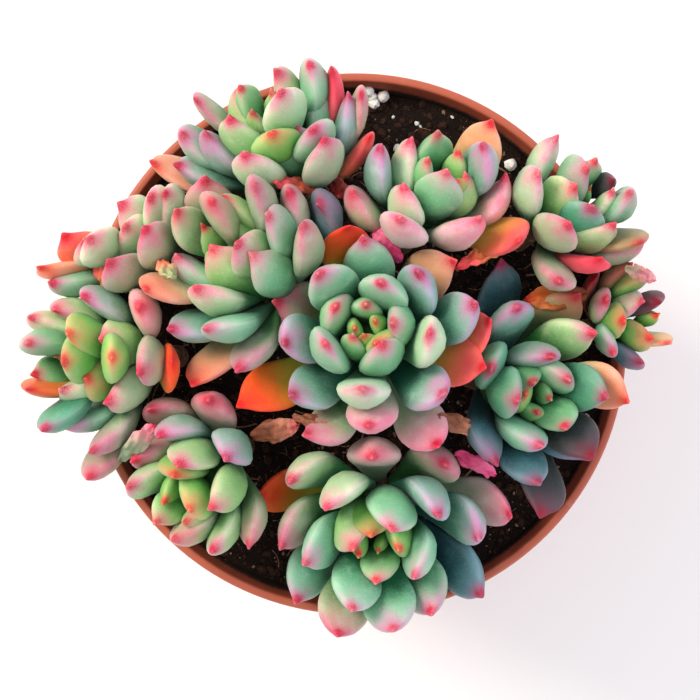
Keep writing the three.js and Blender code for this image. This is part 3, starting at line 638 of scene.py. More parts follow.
def build_leaf_tree():
    """Balls instanced on the leaf points, realised, and moved to each leaf's midline."""
    tree = new_tree("plump leaves", LEAF_TREE_SIZES)
    bench = Bench(tree)
    given = bench.node("NodeGroupInput")
    sizes = {name: Value(bench, given.outputs[name]) for name in LEAF_TREE_SIZES}

    def stored(geometry, name, value, kind="FLOAT"):
        made = bench.node(
            "GeometryNodeStoreNamedAttribute",
            {"Geometry": geometry, "Name": name, "Value": value}, data_type=kind, domain="POINT",
        )
        return made.outputs[0]

    def carried(name, kind="FLOAT"):
        made = bench.node("GeometryNodeInputNamedAttribute", {"Name": name}, data_type=kind)
        return Value(bench, [s for s in made.outputs if s.enabled][0])

    ball = bench.node(
        "GeometryNodeMeshUVSphere", {"Segments": sizes["Sides"], "Rings": sizes["Rings"], "Radius": 1.0},
    )
    place = Value(bench, bench.node("GeometryNodeInputPosition").outputs[0])
    x, y, z = bench.parts(place)
    ring = bench.maths("SQRT", x * x + y * y)
    ring_or_one = bench.maths("MAXIMUM", ring, 0.0001)
    turned = 1.0 - bench.maths("ARCCOSINE", z) / math.pi
    marked = stored(ball.outputs["Mesh"], "place", turned)
    marked = stored(marked, "across", x / ring_or_one)
    marked = stored(marked, "above", y / ring_or_one)
    copies = bench.node("GeometryNodeInstanceOnPoints", {"Points": given.outputs[0], "Instance": marked})
    real = bench.node("GeometryNodeRealizeInstances", {0: copies.outputs[0]}).outputs[0]

    root, bend, tip, side = (carried(name, "FLOAT_VECTOR") for name in ("root", "bend", "tip", "side"))
    width, thickness, taper, bulge, keel, seed = (
        carried(name) for name in ("width", "thickness", "taper", "bulge", "keel", "seed"))
    across, above = carried("across"), carried("above")

    # along runs from 0 at the root to 1 at the tip, with the rings closer near the tip
    along = 1.0 - (1.0 - carried("place")) ** BLADE["ring_bunching"]
    back = 1.0 - along
    middle = bench.vectors("ADD", bench.stretch(root, back * back), bench.stretch(tip, along * along))
    middle = bench.vectors("ADD", middle, bench.stretch(bend, 2.0 * along * back))
    rise = bench.vectors("SUBTRACT", bend, root)
    run = bench.vectors("SUBTRACT", tip, bend)
    onward = bench.vectors("ADD", bench.stretch(rise, back), bench.stretch(run, along))
    onward = bench.vectors("NORMALIZE", onward)
    upward = bench.vectors("NORMALIZE", bench.vectors("CROSS_PRODUCT", onward, side))

    # share is the blade's half-width there, against its widest place
    swell = bench.smooth(along, 0.0, sizes["Widest at"])
    share = sizes["Root share"] + (1.0 - sizes["Root share"]) * swell
    blunt = bench.maths("MAXIMUM", 1.0 - along ** sizes["Bluntness"], 0.0) ** taper
    closed = bench.maths("MINIMUM", along / BLADE["root_closes_in"], 1.0) ** 0.5
    lens = bench.maths("MAXIMUM", 1.0 - along ** BLADE["lens_power"], 0.0)
    deep_share = share * lens ** BLADE["lens_roundness"] * closed * BLADE["fullness"]
    share = share * blunt * closed

    half_width = width * share * 0.5
    half_thickness = thickness * deep_share * 0.5
    upper = bench.maths("MAXIMUM", above, 0.0)
    lower = bench.maths("MAXIMUM", 0.0 - above, 0.0)
    # the upper face is flatter and dished towards the root, the back is rounder and keeled
    fullness = 1.0 - BLADE["flat_top"] * above + keel * lower ** BLADE["keel_sharpness"]
    dished = sizes["Dish"] * upper * bench.smooth(along, BLADE["dish_from"], BLADE["dish_full"]) * 2.0
    height = half_thickness * (above * fullness - dished)
    # the end leans, so that the point lies on the upper side and the back bulges past it
    leaning = bench.smooth(along, BLADE["lean_from"], BLADE["lean_full"])
    end_lean = bulge * half_thickness * above * leaning * -1.0
    point = bench.maths("EXPONENT", (share / BLADE["point_width"]) ** 2 * -1.0)
    point = point * bench.smooth(along, BLADE["point_from"], BLADE["point_full"])
    onward_by = end_lean + sizes["Point length"] * point

    # soft lumps, unlike from leaf to leaf, and the ruffle that both faces share
    spread = bench.arrow(across * share * 0.5, above * share * 0.25, along * 1.6)
    own = bench.arrow(seed * 31.0, seed * 17.0, seed * 53.0)
    lumps = bench.grain(bench.vectors("ADD", spread, own), 2.6, 1.0) - 0.5
    outward = bench.vectors("ADD", bench.stretch(side, across), bench.stretch(upward, above))
    lump_by = lumps * 2.0 * sizes["Lump height"] * bench.maths("MINIMUM", share * 2.0, 1.0)
    sheet = bench.arrow(across * share * 0.7, 0.0, along * 1.6)
    waves = bench.grain(bench.vectors("ADD", sheet, own), 3.5, 2.0) - 0.5
    ruffle_by = waves * 2.0 * sizes["Ruffle height"]

    moved = bench.vectors("ADD", middle, bench.stretch(side, across * half_width))
    moved = bench.vectors("ADD", moved, bench.stretch(upward, height + ruffle_by))
    moved = bench.vectors("ADD", moved, bench.stretch(onward, onward_by))
    moved = bench.vectors("ADD", moved, bench.stretch(outward, lump_by))
    bent = bench.node("GeometryNodeSetPosition", {"Geometry": real, "Position": moved}).outputs[0]

    bent = stored(bent, "along", along)
    now = bench.node("GeometryNodeInputPosition").outputs[0]
    bent = stored(bent, "from_tip", bench.vectors("DISTANCE", now, tip))
    smooth = bench.node("GeometryNodeSetShadeSmooth", {"Geometry": bent}).outputs[0]
    paint_and_end(bench, smooth, sizes["Finish"])
    return tree


leaf_tree = build_leaf_tree()
print("the leaf tree has", len(leaf_tree.nodes), "nodes")

# %% [markdown]
# A tree's result is only kept when it is read back as a plain mesh. The modifier is taken off
# again, so what is left is real geometry that any program can open.

# %% From points and a tree to a plain mesh
def set_sizes(modifier, tree, sizes):
    """Sets a modifier's inputs by their identifiers."""
    for item in tree.interface.items_tree:
        if item.item_type == "SOCKET" and item.in_out == "INPUT" and item.name in sizes:
            modifier[item.identifier] = sizes[item.name]


def grow(name, start_mesh, tree, sizes):
    """Runs a tree over a mesh and returns the result as a plain object."""
    source = bpy.data.objects.new(name + "_start", start_mesh)
    bpy.context.collection.objects.link(source)
    modifier = source.modifiers.new("tree", "NODES")
    modifier.node_group = tree
    set_sizes(modifier, tree, sizes)
    depsgraph = bpy.context.evaluated_depsgraph_get()
    mesh = bpy.data.meshes.new_from_object(source.evaluated_get(depsgraph), depsgraph=depsgraph)
    bpy.data.objects.remove(source)
    mesh.name = name
    return mesh


def show(name, mesh):
    """Puts a mesh in the scene as a piece of its own."""
    piece = bpy.data.objects.new(name, mesh)
    bpy.context.collection.objects.link(piece)
    return piece


def hand_over(piece, slot, *nodes):
    """Lets a piece ride on the part and stand for solids; its slot is not used."""
    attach(piece, "root")
    if nodes:
        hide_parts(*nodes)
    count = sum(len(face.vertices) - 2 for face in piece.data.polygons)
    print(piece.name, "has", count, "triangles")
    return piece


def points_mesh(name, rows):
    """A mesh of loose points, one for each row, with the row's values as attributes."""
    mesh = bpy.data.meshes.new(name)
    mesh.from_pydata([row["root"] for row in rows], [], [])
    for key, value in rows[0].items():
        size = 1 if isinstance(value, float) else len(value)
        kind, field = {1: ("FLOAT", "value"), 3: ("FLOAT_VECTOR", "vector"),
                       4: ("FLOAT_COLOR", "color")}[size]
        column = mesh.attributes.new(key, kind, "POINT")
        column.data.foreach_set(field, np.array([row[key] for row in rows], dtype=float).ravel())
    return mesh

# %% [markdown]
# ## The colours of the leaves
# One leaf runs from deep green at its base, through a mint or bluish middle under a pale powdery
# bloom, to a pink blush near the end and a crimson point. The deep green at the base is partly the
# leaf's own and partly painted shade among the leaves. Leaves facing the daylight get a paler,
# pinker finish as painted light, and leaves in shadow darker finishes as painted shade. Young ones
# are greener, and old ones turn orange and coral. Each finish names those five colours once, and
# each leaf carries its own slightly shifted copy as attributes.

# %% Leaf finishes
FINISHES = {
    "young": ("#2f7030", "#6cb050", "#a8ca86", "#cc9464", "#dc2430"),
    "mint": ("#1c6240", "#6cac86", "#b0d0b8", "#cc88b0", "#c8103c"),
    # painted light: sunlit is a paler, warmer copy of the greens for leaves that face the daylight
    "sunlit": ("#308038", "#8cbc78", "#d4dfb8", "#dc7ca0", "#cc143c"),
    "rosy": ("#3c7440", "#94ac84", "#ccbcb4", "#cc6488", "#c4103c"),
    # deep and blue are darker copies of the greens: partly the leaves' own colour, partly painted shade on
    # leaves in shadow
    "deep": ("#0c4830", "#40906c", "#88b8a0", "#ac7094", "#b41040"),
    "blue": ("#0c3840", "#386870", "#7898a4", "#8c6484", "#a01440"),
    "pink": ("#88a07c", "#d0aca4", "#eccfd0", "#ea6c8c", "#d00c38"),
    "coral": ("#d0b048", "#fc7c4c", "#ff9c80", "#fc4c60", "#e0102c"),
    "orange": ("#a4a434", "#f8641c", "#fc7838", "#fc3820", "#e01414"),
    "salmon": ("#a8b484", "#f09878", "#f8b8a4", "#f47858", "#dc2030"),
    "peach": ("#a09c60", "#eca078", "#f4c09c", "#ec7474", "#d41c34"),
    "red": ("#c85c48", "#f05460", "#f47c84", "#f03c58", "#d01030"),
    "cream": ("#44905c", "#a0c898", "#e0dcc8", "#e07c9c", "#cc1040"),
    "lilac": ("#1c604c", "#6ca488", "#bcc0cc", "#c880b0", "#b80c3c"),
    # plum: dark purple, partly the leaves' own colour, partly painted shade on leaves in deep shadow
    "plum": ("#1c2624", "#3c3e42", "#5c545c", "#64283c", "#80102c"),
    "scabbed": ("#446c48", "#8c7c54", "#b09474", "#b05848", "#b02434"),
    "withered": ("#6c2a18", "#ac5038", "#c87c64", "#c03440", "#b01430"),
    "dry": ("#80482f", "#c4785a", "#d8a488", "#d46c6c", "#c03c44"),
    "magenta": ("#c2346c", "#e86c9c", "#f4a4c4", "#e02c80", "#d00844"),
    "rusty": ("#74380c", "#bc5c1c", "#d4884c", "#c83c1c", "#b81c10"),
}
BLUSH_REACH = {
    "rosy": 10.0, "lilac": 8.0, "pink": 11.0, "sunlit": 7.5, "salmon": 7.0, "orange": 14.0,
    "coral": 13.0, "peach": 6.0, "red": 10.0, "deep": 5.0, "other": 7.0,
}
COLOUR_NAMES = ("base", "body", "bloom", "blush", "point")
GREENING = {"until": 0.42, "share": 0.8, "never": ("blue", "plum", "cream")}
SHIFT = {"brightness": 0.1, "warmth": 0.05}


def mixed(first, second, share):
    """A colour part of the way from the first to the second."""
    return tuple(a + (b - a) * share for a, b in zip(first, second))


def leaf_colours(finish, age, draw):
    """The five colours of one leaf, greener when it is young, with a slight shift of its own."""
    own = [paint(look) for look in FINISHES[finish]]
    young = [paint(look) for look in FINISHES["young"]]
    youth = 0.0 if finish in GREENING["never"] else max(0.0, 1.0 - age / GREENING["until"])
    shift = 1.0 + draw.uniform(-SHIFT["brightness"], SHIFT["brightness"])
    warmth = draw.uniform(-SHIFT["warmth"], SHIFT["warmth"])
    colours = {}
    for name, colour, green in zip(COLOUR_NAMES, own, young):
        red, lime, blue, _ = mixed(colour, green, youth * GREENING["share"])
        colours[name] = (red * (shift + warmth), lime * shift, blue * (shift - warmth), 1.0)
    return colours


# %% [markdown]
# The skin's finish reads those attributes. Masks run along the leaf and away from its point:
# towards the root the leaf darkens to its base colour, partly its own deeper green and partly
# painted shade. The blush is a soft cloud round the point, broken up into fine dots, and inside
# it a halo deepens to a small crimson drop at the very end. The bloom is a thin wax that shows
# most on the edges and near the end, where its pale colour is also a painted highlight of a lit
# rim and a lit end. Under the skin the flesh lets a little light through, which keeps the leaves
# from looking like painted plaster.

# %% The leaf skin
def new_finish(name):
    """A material with an empty tree, a bench for it, and its shader node."""
    material = bpy.data.materials.new(name)
    material.use_nodes = True
    material.node_tree.nodes.clear()
    bench = Bench(material.node_tree)
    shader = bench.node("ShaderNodeBsdfPrincipled")
    bench.node("ShaderNodeOutputMaterial", {"Surface": shader.outputs[0]})
    return material, bench, shader


def attribute(bench, name, colour=False):
    """An attribute of the mesh, as a number or as a colour."""
    made = bench.node("ShaderNodeAttribute", attribute_name=name)
    return Value(bench, made.outputs["Color" if colour else "Fac"])


def object_place(bench):
    """The place on the piece, in metres."""
    return Value(bench, bench.node("ShaderNodeTexCoord").outputs["Object"])


def bump(bench, shader, height, depth, strength=1.0):
    """Raises the surface by a height between 0 and 1, times a depth in metres."""
    made = bench.node("ShaderNodeBump", {"Height": height, "Distance": depth, "Strength": strength})
    bench.join(made.outputs[0], shader.inputs["Normal"])


def leaf_skin():
    material, bench, shader = new_finish("leaf_skin")
    base, body, bloom, blush, point = (attribute(bench, name, True) for name in COLOUR_NAMES)
    along = attribute(bench, "along")
    across = attribute(bench, "across")
    above = attribute(bench, "above")
    reach = attribute(bench, "blush_reach")
    drop_size = attribute(bench, "drop_size")
    from_tip = attribute(bench, "from_tip") * 1000.0
    place = object_place(bench)
    clouds = bench.grain(place, 170.0, 2.0) - 0.5
    dots = bench.grain(place, 2300.0, 1.0) - 0.5
    edge = bench.maths("ABSOLUTE", across) ** 8.0

    # painted shade: the dark base colour climbs from the root, a little higher on the upper face; it is
    # partly the leaf's own deeper green
    body_share = bench.smooth(along + clouds * 0.35 - above * 0.06, 0.3, 0.78)
    colour = bench.blend(body_share, base, body)
    # the pale bloom on the edges and near the end: partly wax, partly a painted highlight where the light
    # catches
    bloom_and_highlight_share = edge * bench.smooth(along, 0.35, 0.8) * 0.55 + bench.smooth(along, 0.62, 1.0) * 0.3
    bloom_and_highlight_share = bloom_and_highlight_share + bench.smooth(clouds, 0.02, 0.3) * 0.35
    colour = bench.blend(bloom_and_highlight_share * bench.smooth(along, 0.3, 0.7), colour, bloom)
    powder = bench.smooth(bench.grain(place, 1500.0, 2.0, 0.7), 0.5, 0.7)
    colour = bench.blend(powder * bench.smooth(along, 0.3, 0.6) * 0.22, colour, bloom)
    # painted highlight: a narrow pale rim along the edges, partly wax
    edge_bloom_and_highlight = bench.smooth(bench.maths("ABSOLUTE", across), 0.965, 1.0)
    colour = bench.blend(edge_bloom_and_highlight * bench.smooth(along, 0.4, 0.7) * 0.3, colour, bloom)
    blurred = from_tip / reach + clouds * 1.3 + dots * 0.9 - edge * 0.35
    blush_share = bench.smooth(blurred, 1.3, 0.0) ** 1.3 * 0.85
    colour = bench.blend(blush_share, colour, blush)
    halo = from_tip / drop_size + clouds * 3.0 + dots * 2.0 - edge * 0.6
    colour = bench.blend(bench.smooth(halo, 6.5, 1.0) ** 2 * 0.45, colour, point)
    drop = from_tip / drop_size + clouds * 2.5 + dots * 3.5 - edge * 0.2
    colour = bench.blend(bench.smooth(drop, 3.2, 0.4) ** 1.3, colour, point)
    freckles = bench.smooth(dots, 0.12, 0.24) * bench.smooth(from_tip / reach, 1.6, 0.4) * 0.45
    colour = bench.blend(freckles, colour, point)
    bench.join(colour, shader.inputs["Base Color"])

    bench.join(bench.maths("ADD", clouds * 0.25, 0.5), shader.inputs["Roughness"])
    shader.inputs["Specular IOR Level"].default_value = 0.35
    shader.inputs["Subsurface Weight"].default_value = 0.2
    shader.inputs["Subsurface Radius"].default_value = (1.0, 0.7, 0.4)
    shader.inputs["Subsurface Scale"].default_value = 2.5 * MM
    shader.inputs["Sheen Weight"].default_value = 0.12
    shader.inputs["Sheen Roughness"].default_value = 0.4
    shader.inputs["Sheen Tint"].default_value = paint("#e6e4f6")
    bump(bench, shader, dots * 0.4 + clouds, 0.25 * MM)
    return material


leaf_finish = leaf_skin()
print("leaf skin has", len(leaf_finish.node_tree.nodes), "nodes")

# %% [markdown]
# ## The rosettes
# Each rosette's leaves become one piece from the tree, and its stem, which carries them, another.
# Every leaf draws its own seeded differences: how blunt it is, how far its back bulges past the
# point, how strong its keel, and how far the blush reaches.

# %% Leaves of one rosette
OWN_SHAPE = {"taper": (0.85, 1.1), "bulge": (0.0, 0.3), "keel": (0.0, 0.25), "blush": (0.75, 1.25)}
OLD_BULGE = 0.3
SMALLEST_BLUSH = 1.2
DROP = {"young": 0.35, "grown": 0.85}


def leaf_row(leaf, draw):
    """The attributes of one leaf's point, in metres."""
    lift = np.array([0.0, 0.0, POT_HEIGHT])
    age = leaf["age"]
    old = leaf["old"]
    full_reach = BLUSH_REACH.get(leaf["finish"], BLUSH_REACH["other"])
    blush_reach = SMALLEST_BLUSH + (full_reach - SMALLEST_BLUSH) * leaf["growth"] ** 1.5
    row = {
        "root": tuple((leaf["root"] + lift) * MM),
        "bend": tuple((leaf["bend"] + lift) * MM),
        "tip": tuple((leaf["tip"] + lift) * MM),
        "side": tuple(leaf["side"]),
        "width": leaf["width"] * MM,
        "thickness": leaf["thickness"] * MM,
        "taper": draw.uniform(*OWN_SHAPE["taper"]),
        "bulge": draw.uniform(*OWN_SHAPE["bulge"]) * (OLD_BULGE if old else 1.0),
        "keel": draw.uniform(*OWN_SHAPE["keel"]),
        "seed": draw.random(),
        "blush_reach": blush_reach * draw.uniform(*OWN_SHAPE["blush"]),
        "drop_size": DROP["young"] + (DROP["grown"] - DROP["young"]) * leaf["growth"],
    }
    row.update(leaf_colours(leaf["finish"], age, draw))
    return {key: float(v) if np.isscalar(v) else tuple(map(float, v)) for key, v in row.items()}


rosette_meshes = {}
for number, rosette in enumerate(ROSETTES):
    draw = random.Random(100 + number)
    own = [leaf for leaf in leaves if leaf["rosette"] == rosette["name"]]
    rows = [leaf_row(leaf, draw) for leaf in own]
    name = "leaves_" + rosette["name"]
    rosette_meshes[rosette["name"]] = grow(
        name, points_mesh(name + "_points", rows), leaf_tree, {"Finish": leaf_finish},
    )
    leafy = show(name, rosette_meshes[rosette["name"]])
    hand_over(leafy, "leaf", "rosette_" + rosette["name"])

# %% [markdown]
# ## The stems
# An echeveria's stem is short, brown and woody, ringed with the scars of leaves it has shed, and
# it swells into the core from which the leaves spring. It is a tube along a curve: straight up
# out of the soil, then over to the rosette. Rings of points are set round the curve and bridged.

# %% Tubes from rings
def ring_points(middle, along, radius, sides, wobble=None):
    """Points round a middle, square to a direction."""
    helper = Vector((1, 0, 0)) if abs(along.x) < 0.8 else Vector((0, 1, 0))
    u = along.cross(helper).normalized()
    v = along.cross(u).normalized()
    points = []
    for k in range(sides):
        turn = math.tau * k / sides
        reach = radius * (1 + (wobble(k) if wobble else 0))
        points.append(middle + u * (reach * math.cos(turn)) + v * (reach * math.sin(turn)))
    return points


def skin_rings(name, rings, start, end):
    """A closed mesh over rings of points, with a point at each end."""
    count = len(rings[0])
    points = [start, *[p for ring in rings for p in ring], end]
    faces = []
    last = len(points) - 1
    for k in range(count):
        after = (k + 1) % count
        faces.append((0, 1 + after, 1 + k))
        for level in range(len(rings) - 1):
            low = 1 + level * count
            faces.append((low + k, low + after, low + count + after, low + count + k))
        top = 1 + (len(rings) - 1) * count
        faces.append((top + k, top + after, last))
    mesh = bpy.data.meshes.new(name)
    mesh.from_pydata([tuple(p) for p in points], [], faces)
    mesh.update()
    return mesh


def point_outwards(mesh):
    """Turns the faces of a closed mesh outwards and shades them smoothly."""
    work = bmesh.new()
    work.from_mesh(mesh)
    bmesh.ops.recalc_face_normals(work, faces=work.faces)
    if work.calc_volume(signed=True) < 0:
        bmesh.ops.reverse_faces(work, faces=work.faces)
    work.to_mesh(mesh)
    work.free()
    mesh.polygons.foreach_set("use_smooth", [True] * len(mesh.polygons))
    return mesh


# %% Bark and stems
def bark():
    material, bench, shader = new_finish("stem_bark")
    place = object_place(bench)
    x, y, z = bench.parts(place)
    stretched = bench.arrow(x * 0.4, y * 0.4, z)
    rings = bench.grain(stretched, 900.0, 3.0, 0.6)
    patches = bench.grain(place, 260.0, 2.0)
    colour = bench.blend(patches, paint("#4a2c1e"), paint("#8a6448"))
    colour = bench.blend(bench.smooth(rings, 0.5, 0.72), colour, paint("#b89880"))
    colour = bench.blend(attribute(bench, "fresh"), colour, paint("#3c6c34"))
    bench.join(colour, shader.inputs["Base Color"])
    shader.inputs["Roughness"].default_value = 0.9
    bump(bench, shader, rings, 0.8 * MM)
    return material


bark_finish = bark()
STEM = {
    "radius": 3.3, "buried": 24, "back": 9, "sides": 20, "rings": 14, "collar": 3, "narrow": 0.96,
    "scar": 1.08, "wobble": 0.04, "green_rings": 2,
}


def stem_mesh(rosette):
    """The woody stem and the core of one rosette."""
    axes = axes_of[rosette["name"]]
    size = rosette["size"]
    lift = Vector((0, 0, POT_HEIGHT))
    up = Vector(axes["up"])
    heart = Vector(axes["heart"])
    foot = heart + up * (CORE[0][0] * size)
    back = STEM["back"] * math.sin(math.radians(rosette["lean"]))
    azimuth = math.radians(rosette["toward"])
    x = foot.x - back * math.cos(azimuth)
    y = foot.y - back * math.sin(azimuth)
    level = -SOIL_BELOW_RIM
    collar = Vector((x, y, min(level + STEM["collar"], foot.z - 2)))
    bend = collar + Vector((0, 0, max(1.0, (foot.z - collar.z) * 0.6)))
    draw = random.Random(rosette["name"])
    path = [(Vector((x, y, level - STEM["buried"])), Vector((0, 0, 1)), STEM["radius"])]
    for k in range(STEM["rings"]):
        t = k / (STEM["rings"] - 1)
        centre = collar * (1 - t) ** 2 + bend * (2 * t * (1 - t)) + foot * t * t
        along = ((bend - collar) * (1 - t) + (foot - bend) * t).normalized()
        scar = STEM["narrow"] if k % 2 else STEM["scar"]
        own = draw.uniform(1 - STEM["wobble"], 1 + STEM["wobble"])
        path.append((centre, along, STEM["radius"] * scar * own))
    for height, radius in CORE[1:]:
        path.append((heart + up * (height * size), up, radius * size * 0.96))
    rings = [[(p + lift) * MM for p in ring_points(centre, along, radius, STEM["sides"])]
             for centre, along, radius in path]
    start = (path[0][0] + lift - Vector((0, 0, 0.5))) * MM
    end = (heart - up * (CORE_TOP * size) + lift) * MM
    mesh = point_outwards(skin_rings("stem_" + rosette["name"], rings, start, end))
    fresh = mesh.attributes.new("fresh", "FLOAT", "POINT")
    green_from = len(mesh.vertices) - 1 - STEM["green_rings"] * STEM["sides"]
    fresh.data.foreach_set("value", [float(k >= green_from) for k in range(len(mesh.vertices))])
    return mesh


for rosette in ROSETTES:
    stem = show("stem_" + rosette["name"], stem_mesh(rosette))
    stem.data.materials.append(bark_finish)
    hand_over(stem, "leaf", "rosette_" + rosette["name"])

# %% [markdown]
# ## Withered leaves
# The lowest leaves dry up, shrivel to crinkled skins and lodge between the rosettes. They come
# from the leaf tree too, thin, ruffled and without a point.

# %% Withered leaves
WITHERED = {"thickness": 1.8, "sag": 0.1}
WITHERED_LEAVES = [
    {"from": (319, 190), "to": (266, 179), "over": (25, 33), "width": 6, "roll": 35, "finish": "red"},
    {"from": (326, 178), "to": (349, 197), "over": (22, 26), "width": 6, "roll": 20, "finish": "withered"},
    {"from": (402, 262), "to": (372, 226), "over": (34, 30), "width": 7, "roll": -25, "finish": "magenta"},
    {"from": (174, 280), "to": (160, 259), "over": (37, 31), "width": 6, "roll": 40, "finish": "salmon"},
    {"from": (120, 462), "to": (156, 424), "over": (12, 27), "width": 7, "roll": 30, "finish": "pink"},
    {"from": (436, 416), "to": (480, 432), "over": (35, 24), "width": 6, "roll": -20, "finish": "dry"},
    {"from": (588, 293), "to": (524, 300), "over": (14, 17), "width": 9, "roll": 15, "finish": "rusty"},
    {"from": (250, 437), "to": (300, 424), "over": (18, 25), "width": 8, "roll": 25, "finish": "dry"},
    {"from": (292, 416), "to": (342, 428), "over": (31, 34), "width": 5, "roll": -30, "finish": "dry"},
    {"from": (455, 452), "to": (497, 476), "over": (26, 19), "width": 7, "roll": 40, "finish": "magenta"},
    {"from": (517, 236), "to": (455, 269), "over": (20, 29), "width": 7, "roll": 50, "finish": "coral"},
    {"from": (113, 292), "to": (96, 253), "over": (14, 18), "width": 8, "roll": -40, "finish": "coral"},
    {"from": (625, 268), "to": (655, 279), "over": (26, 20), "width": 5, "roll": 30, "finish": "pink"},
]


def withered_row(row, draw):
    """The attributes of a withered leaf's point: a sagging midline between its two ends."""
    start = seen_at(row["from"], row["over"][0])
    end = seen_at(row["to"], row["over"][1])
    span = end - start
    level = np.array([-span[1], span[0], 0.0])
    level /= np.linalg.norm(level)
    upward = np.cross(span, level)
    upward /= np.linalg.norm(upward)
    turn = math.radians(row["roll"])
    side = level * math.cos(turn) + upward * math.sin(turn)
    bend = (start + end) / 2 + np.array([0.0, 0.0, WITHERED["sag"] * np.linalg.norm(span)])
    leaf = {
        "root": start, "bend": bend, "tip": end, "side": side, "age": 1.0, "old": True,
        "width": row["width"], "thickness": WITHERED["thickness"], "finish": row["finish"],
        "growth": 1.0,
    }
    return leaf_row(leaf, draw)


for number, row in enumerate(WITHERED_LEAVES, start=1):
    name = f"crinkled_leaf_{number}"
    rows = [withered_row(row, random.Random(500 + number))]
    mesh = grow(name, points_mesh(name + "_points", rows), leaf_tree, {
        "Finish": leaf_finish, "Sides": 24, "Rings": 36, "Root share": 0.4, "Widest at": 0.45,
        "Dish": 0.0, "Lump height": 0.0004, "Point length": 0.0, "Ruffle height": 0.0028,
    })
    hand_over(show(name, mesh), "withered_leaf", f"withered_leaf_{number}")

# %% [markdown]
# ## The pot
# The pot is one moulded plastic shell: tapering sides, a deep collar at the top, a flat rim and
# holes in its bottom. Such a shape is turned, so its outline is written once, with small round
# edges, and swept round the axis. The holes are cut with a Boolean, which is applied at once.

# %% The pot's outline, swept round
POT = {
    "height": POT_HEIGHT, "rim": POT_RIM, "collar": 24, "step": 2.6, "base": 58, "wall": POT_WALL,
    "floor": 3.2, "foot_height": 2.4, "foot_width": 5, "pad": 10, "taper": 4.4, "sides": 160,
}
DRAIN = {"count": 6, "radius": 3.2, "ring": 32, "sides": 32, "low": -5, "high": 12}
MOUTH = POT["rim"] - POT["wall"]
SHOULDER = MOUTH - POT["taper"]
FOOT = POT["base"] - POT["wall"]
COLLAR_AT = POT["height"] - POT["collar"]
FLOOR_AT = POT["foot_height"] + POT["floor"]
LIP = 0.8


def rounded(outline, radius):
    """An outline whose inner corners are each cut by a short arc of three points."""
    points = [outline[0]]
    for before, corner, after in zip(outline, outline[1:], outline[2:]):
        corner = Vector(corner)
        back = Vector(before) - corner
        ahead = Vector(after) - corner
        cut = min(radius, back.length * 0.45, ahead.length * 0.45)
        a = corner + back.normalized() * cut
        b = corner + ahead.normalized() * cut
        points += [tuple(a), tuple(a * 0.25 + corner * 0.5 + b * 0.25), tuple(b)]
    return points + [outline[-1]]


def turned_mesh(name, outline, sides):
    """A closed shape swept round the upright axis from an outline that starts and ends on it."""
    rings = []
    for radius, z in outline[1:-1]:
        rings.append([Vector((radius * math.cos(math.tau * k / sides),
                              radius * math.sin(math.tau * k / sides), z)) * MM
                      for k in range(sides)])
    start = Vector((0, 0, outline[0][1])) * MM
    end = Vector((0, 0, outline[-1][1])) * MM
    return point_outwards(skin_rings(name, rings, start, end))


def pot_outline():
    """The pot's half outline, from the middle of its pad up over the rim and down to its floor."""
    ring = POT["base"] - POT["foot_width"]
    return [
        (0, 0), (POT["pad"], 0), (POT["pad"] + LIP, POT["foot_height"]),
        (ring, POT["foot_height"]), (ring + LIP, 0), (POT["base"], 0),
        (POT["rim"] - POT["step"] - 1.8, COLLAR_AT), (POT["rim"] - 1.2, COLLAR_AT + LIP),
        (POT["rim"], POT["height"] - 1), (POT["rim"] - 0.6, POT["height"]),
        (MOUTH + 0.4, POT["height"]), (MOUTH, POT["height"] - LIP),
        (SHOULDER, COLLAR_AT), (FOOT, FLOOR_AT), (0, FLOOR_AT),
    ]


def cut_drains(piece):
    """Cuts the drain holes and keeps the result as a plain mesh."""
    cutters = []
    for k in range(DRAIN["count"]):
        turn = math.tau * k / DRAIN["count"]
        outline = [(0, DRAIN["low"]), (DRAIN["radius"], DRAIN["low"]),
                   (DRAIN["radius"], DRAIN["high"]), (0, DRAIN["high"])]
        mesh = turned_mesh(f"drill_{k}", outline, DRAIN["sides"])
        place = Vector((DRAIN["ring"] * math.cos(turn), DRAIN["ring"] * math.sin(turn), 0)) * MM
        mesh.transform(Matrix.Translation(place))
        cutters.append(show(f"drill_{k}", mesh))
        modifier = piece.modifiers.new(f"hole_{k}", "BOOLEAN")
        modifier.object = cutters[-1]
        modifier.solver = "EXACT"
    depsgraph = bpy.context.evaluated_depsgraph_get()
    piece.data = bpy.data.meshes.new_from_object(piece.evaluated_get(depsgraph), depsgraph=depsgraph)
    piece.modifiers.clear()
    for cutter in cutters:
        bpy.data.objects.remove(cutter)


pot = show("turned_pot", turned_mesh("turned_pot", rounded(pot_outline(), 0.7), POT["sides"]))
cut_drains(pot)

# %% [markdown]
# Terracotta-coloured plastic has a fine satin grain from the mould. On the rim it is clean. Down
# the inner wall it is darker, wet and dusty from watering, with soil sticking to it near the
# level of the filling.

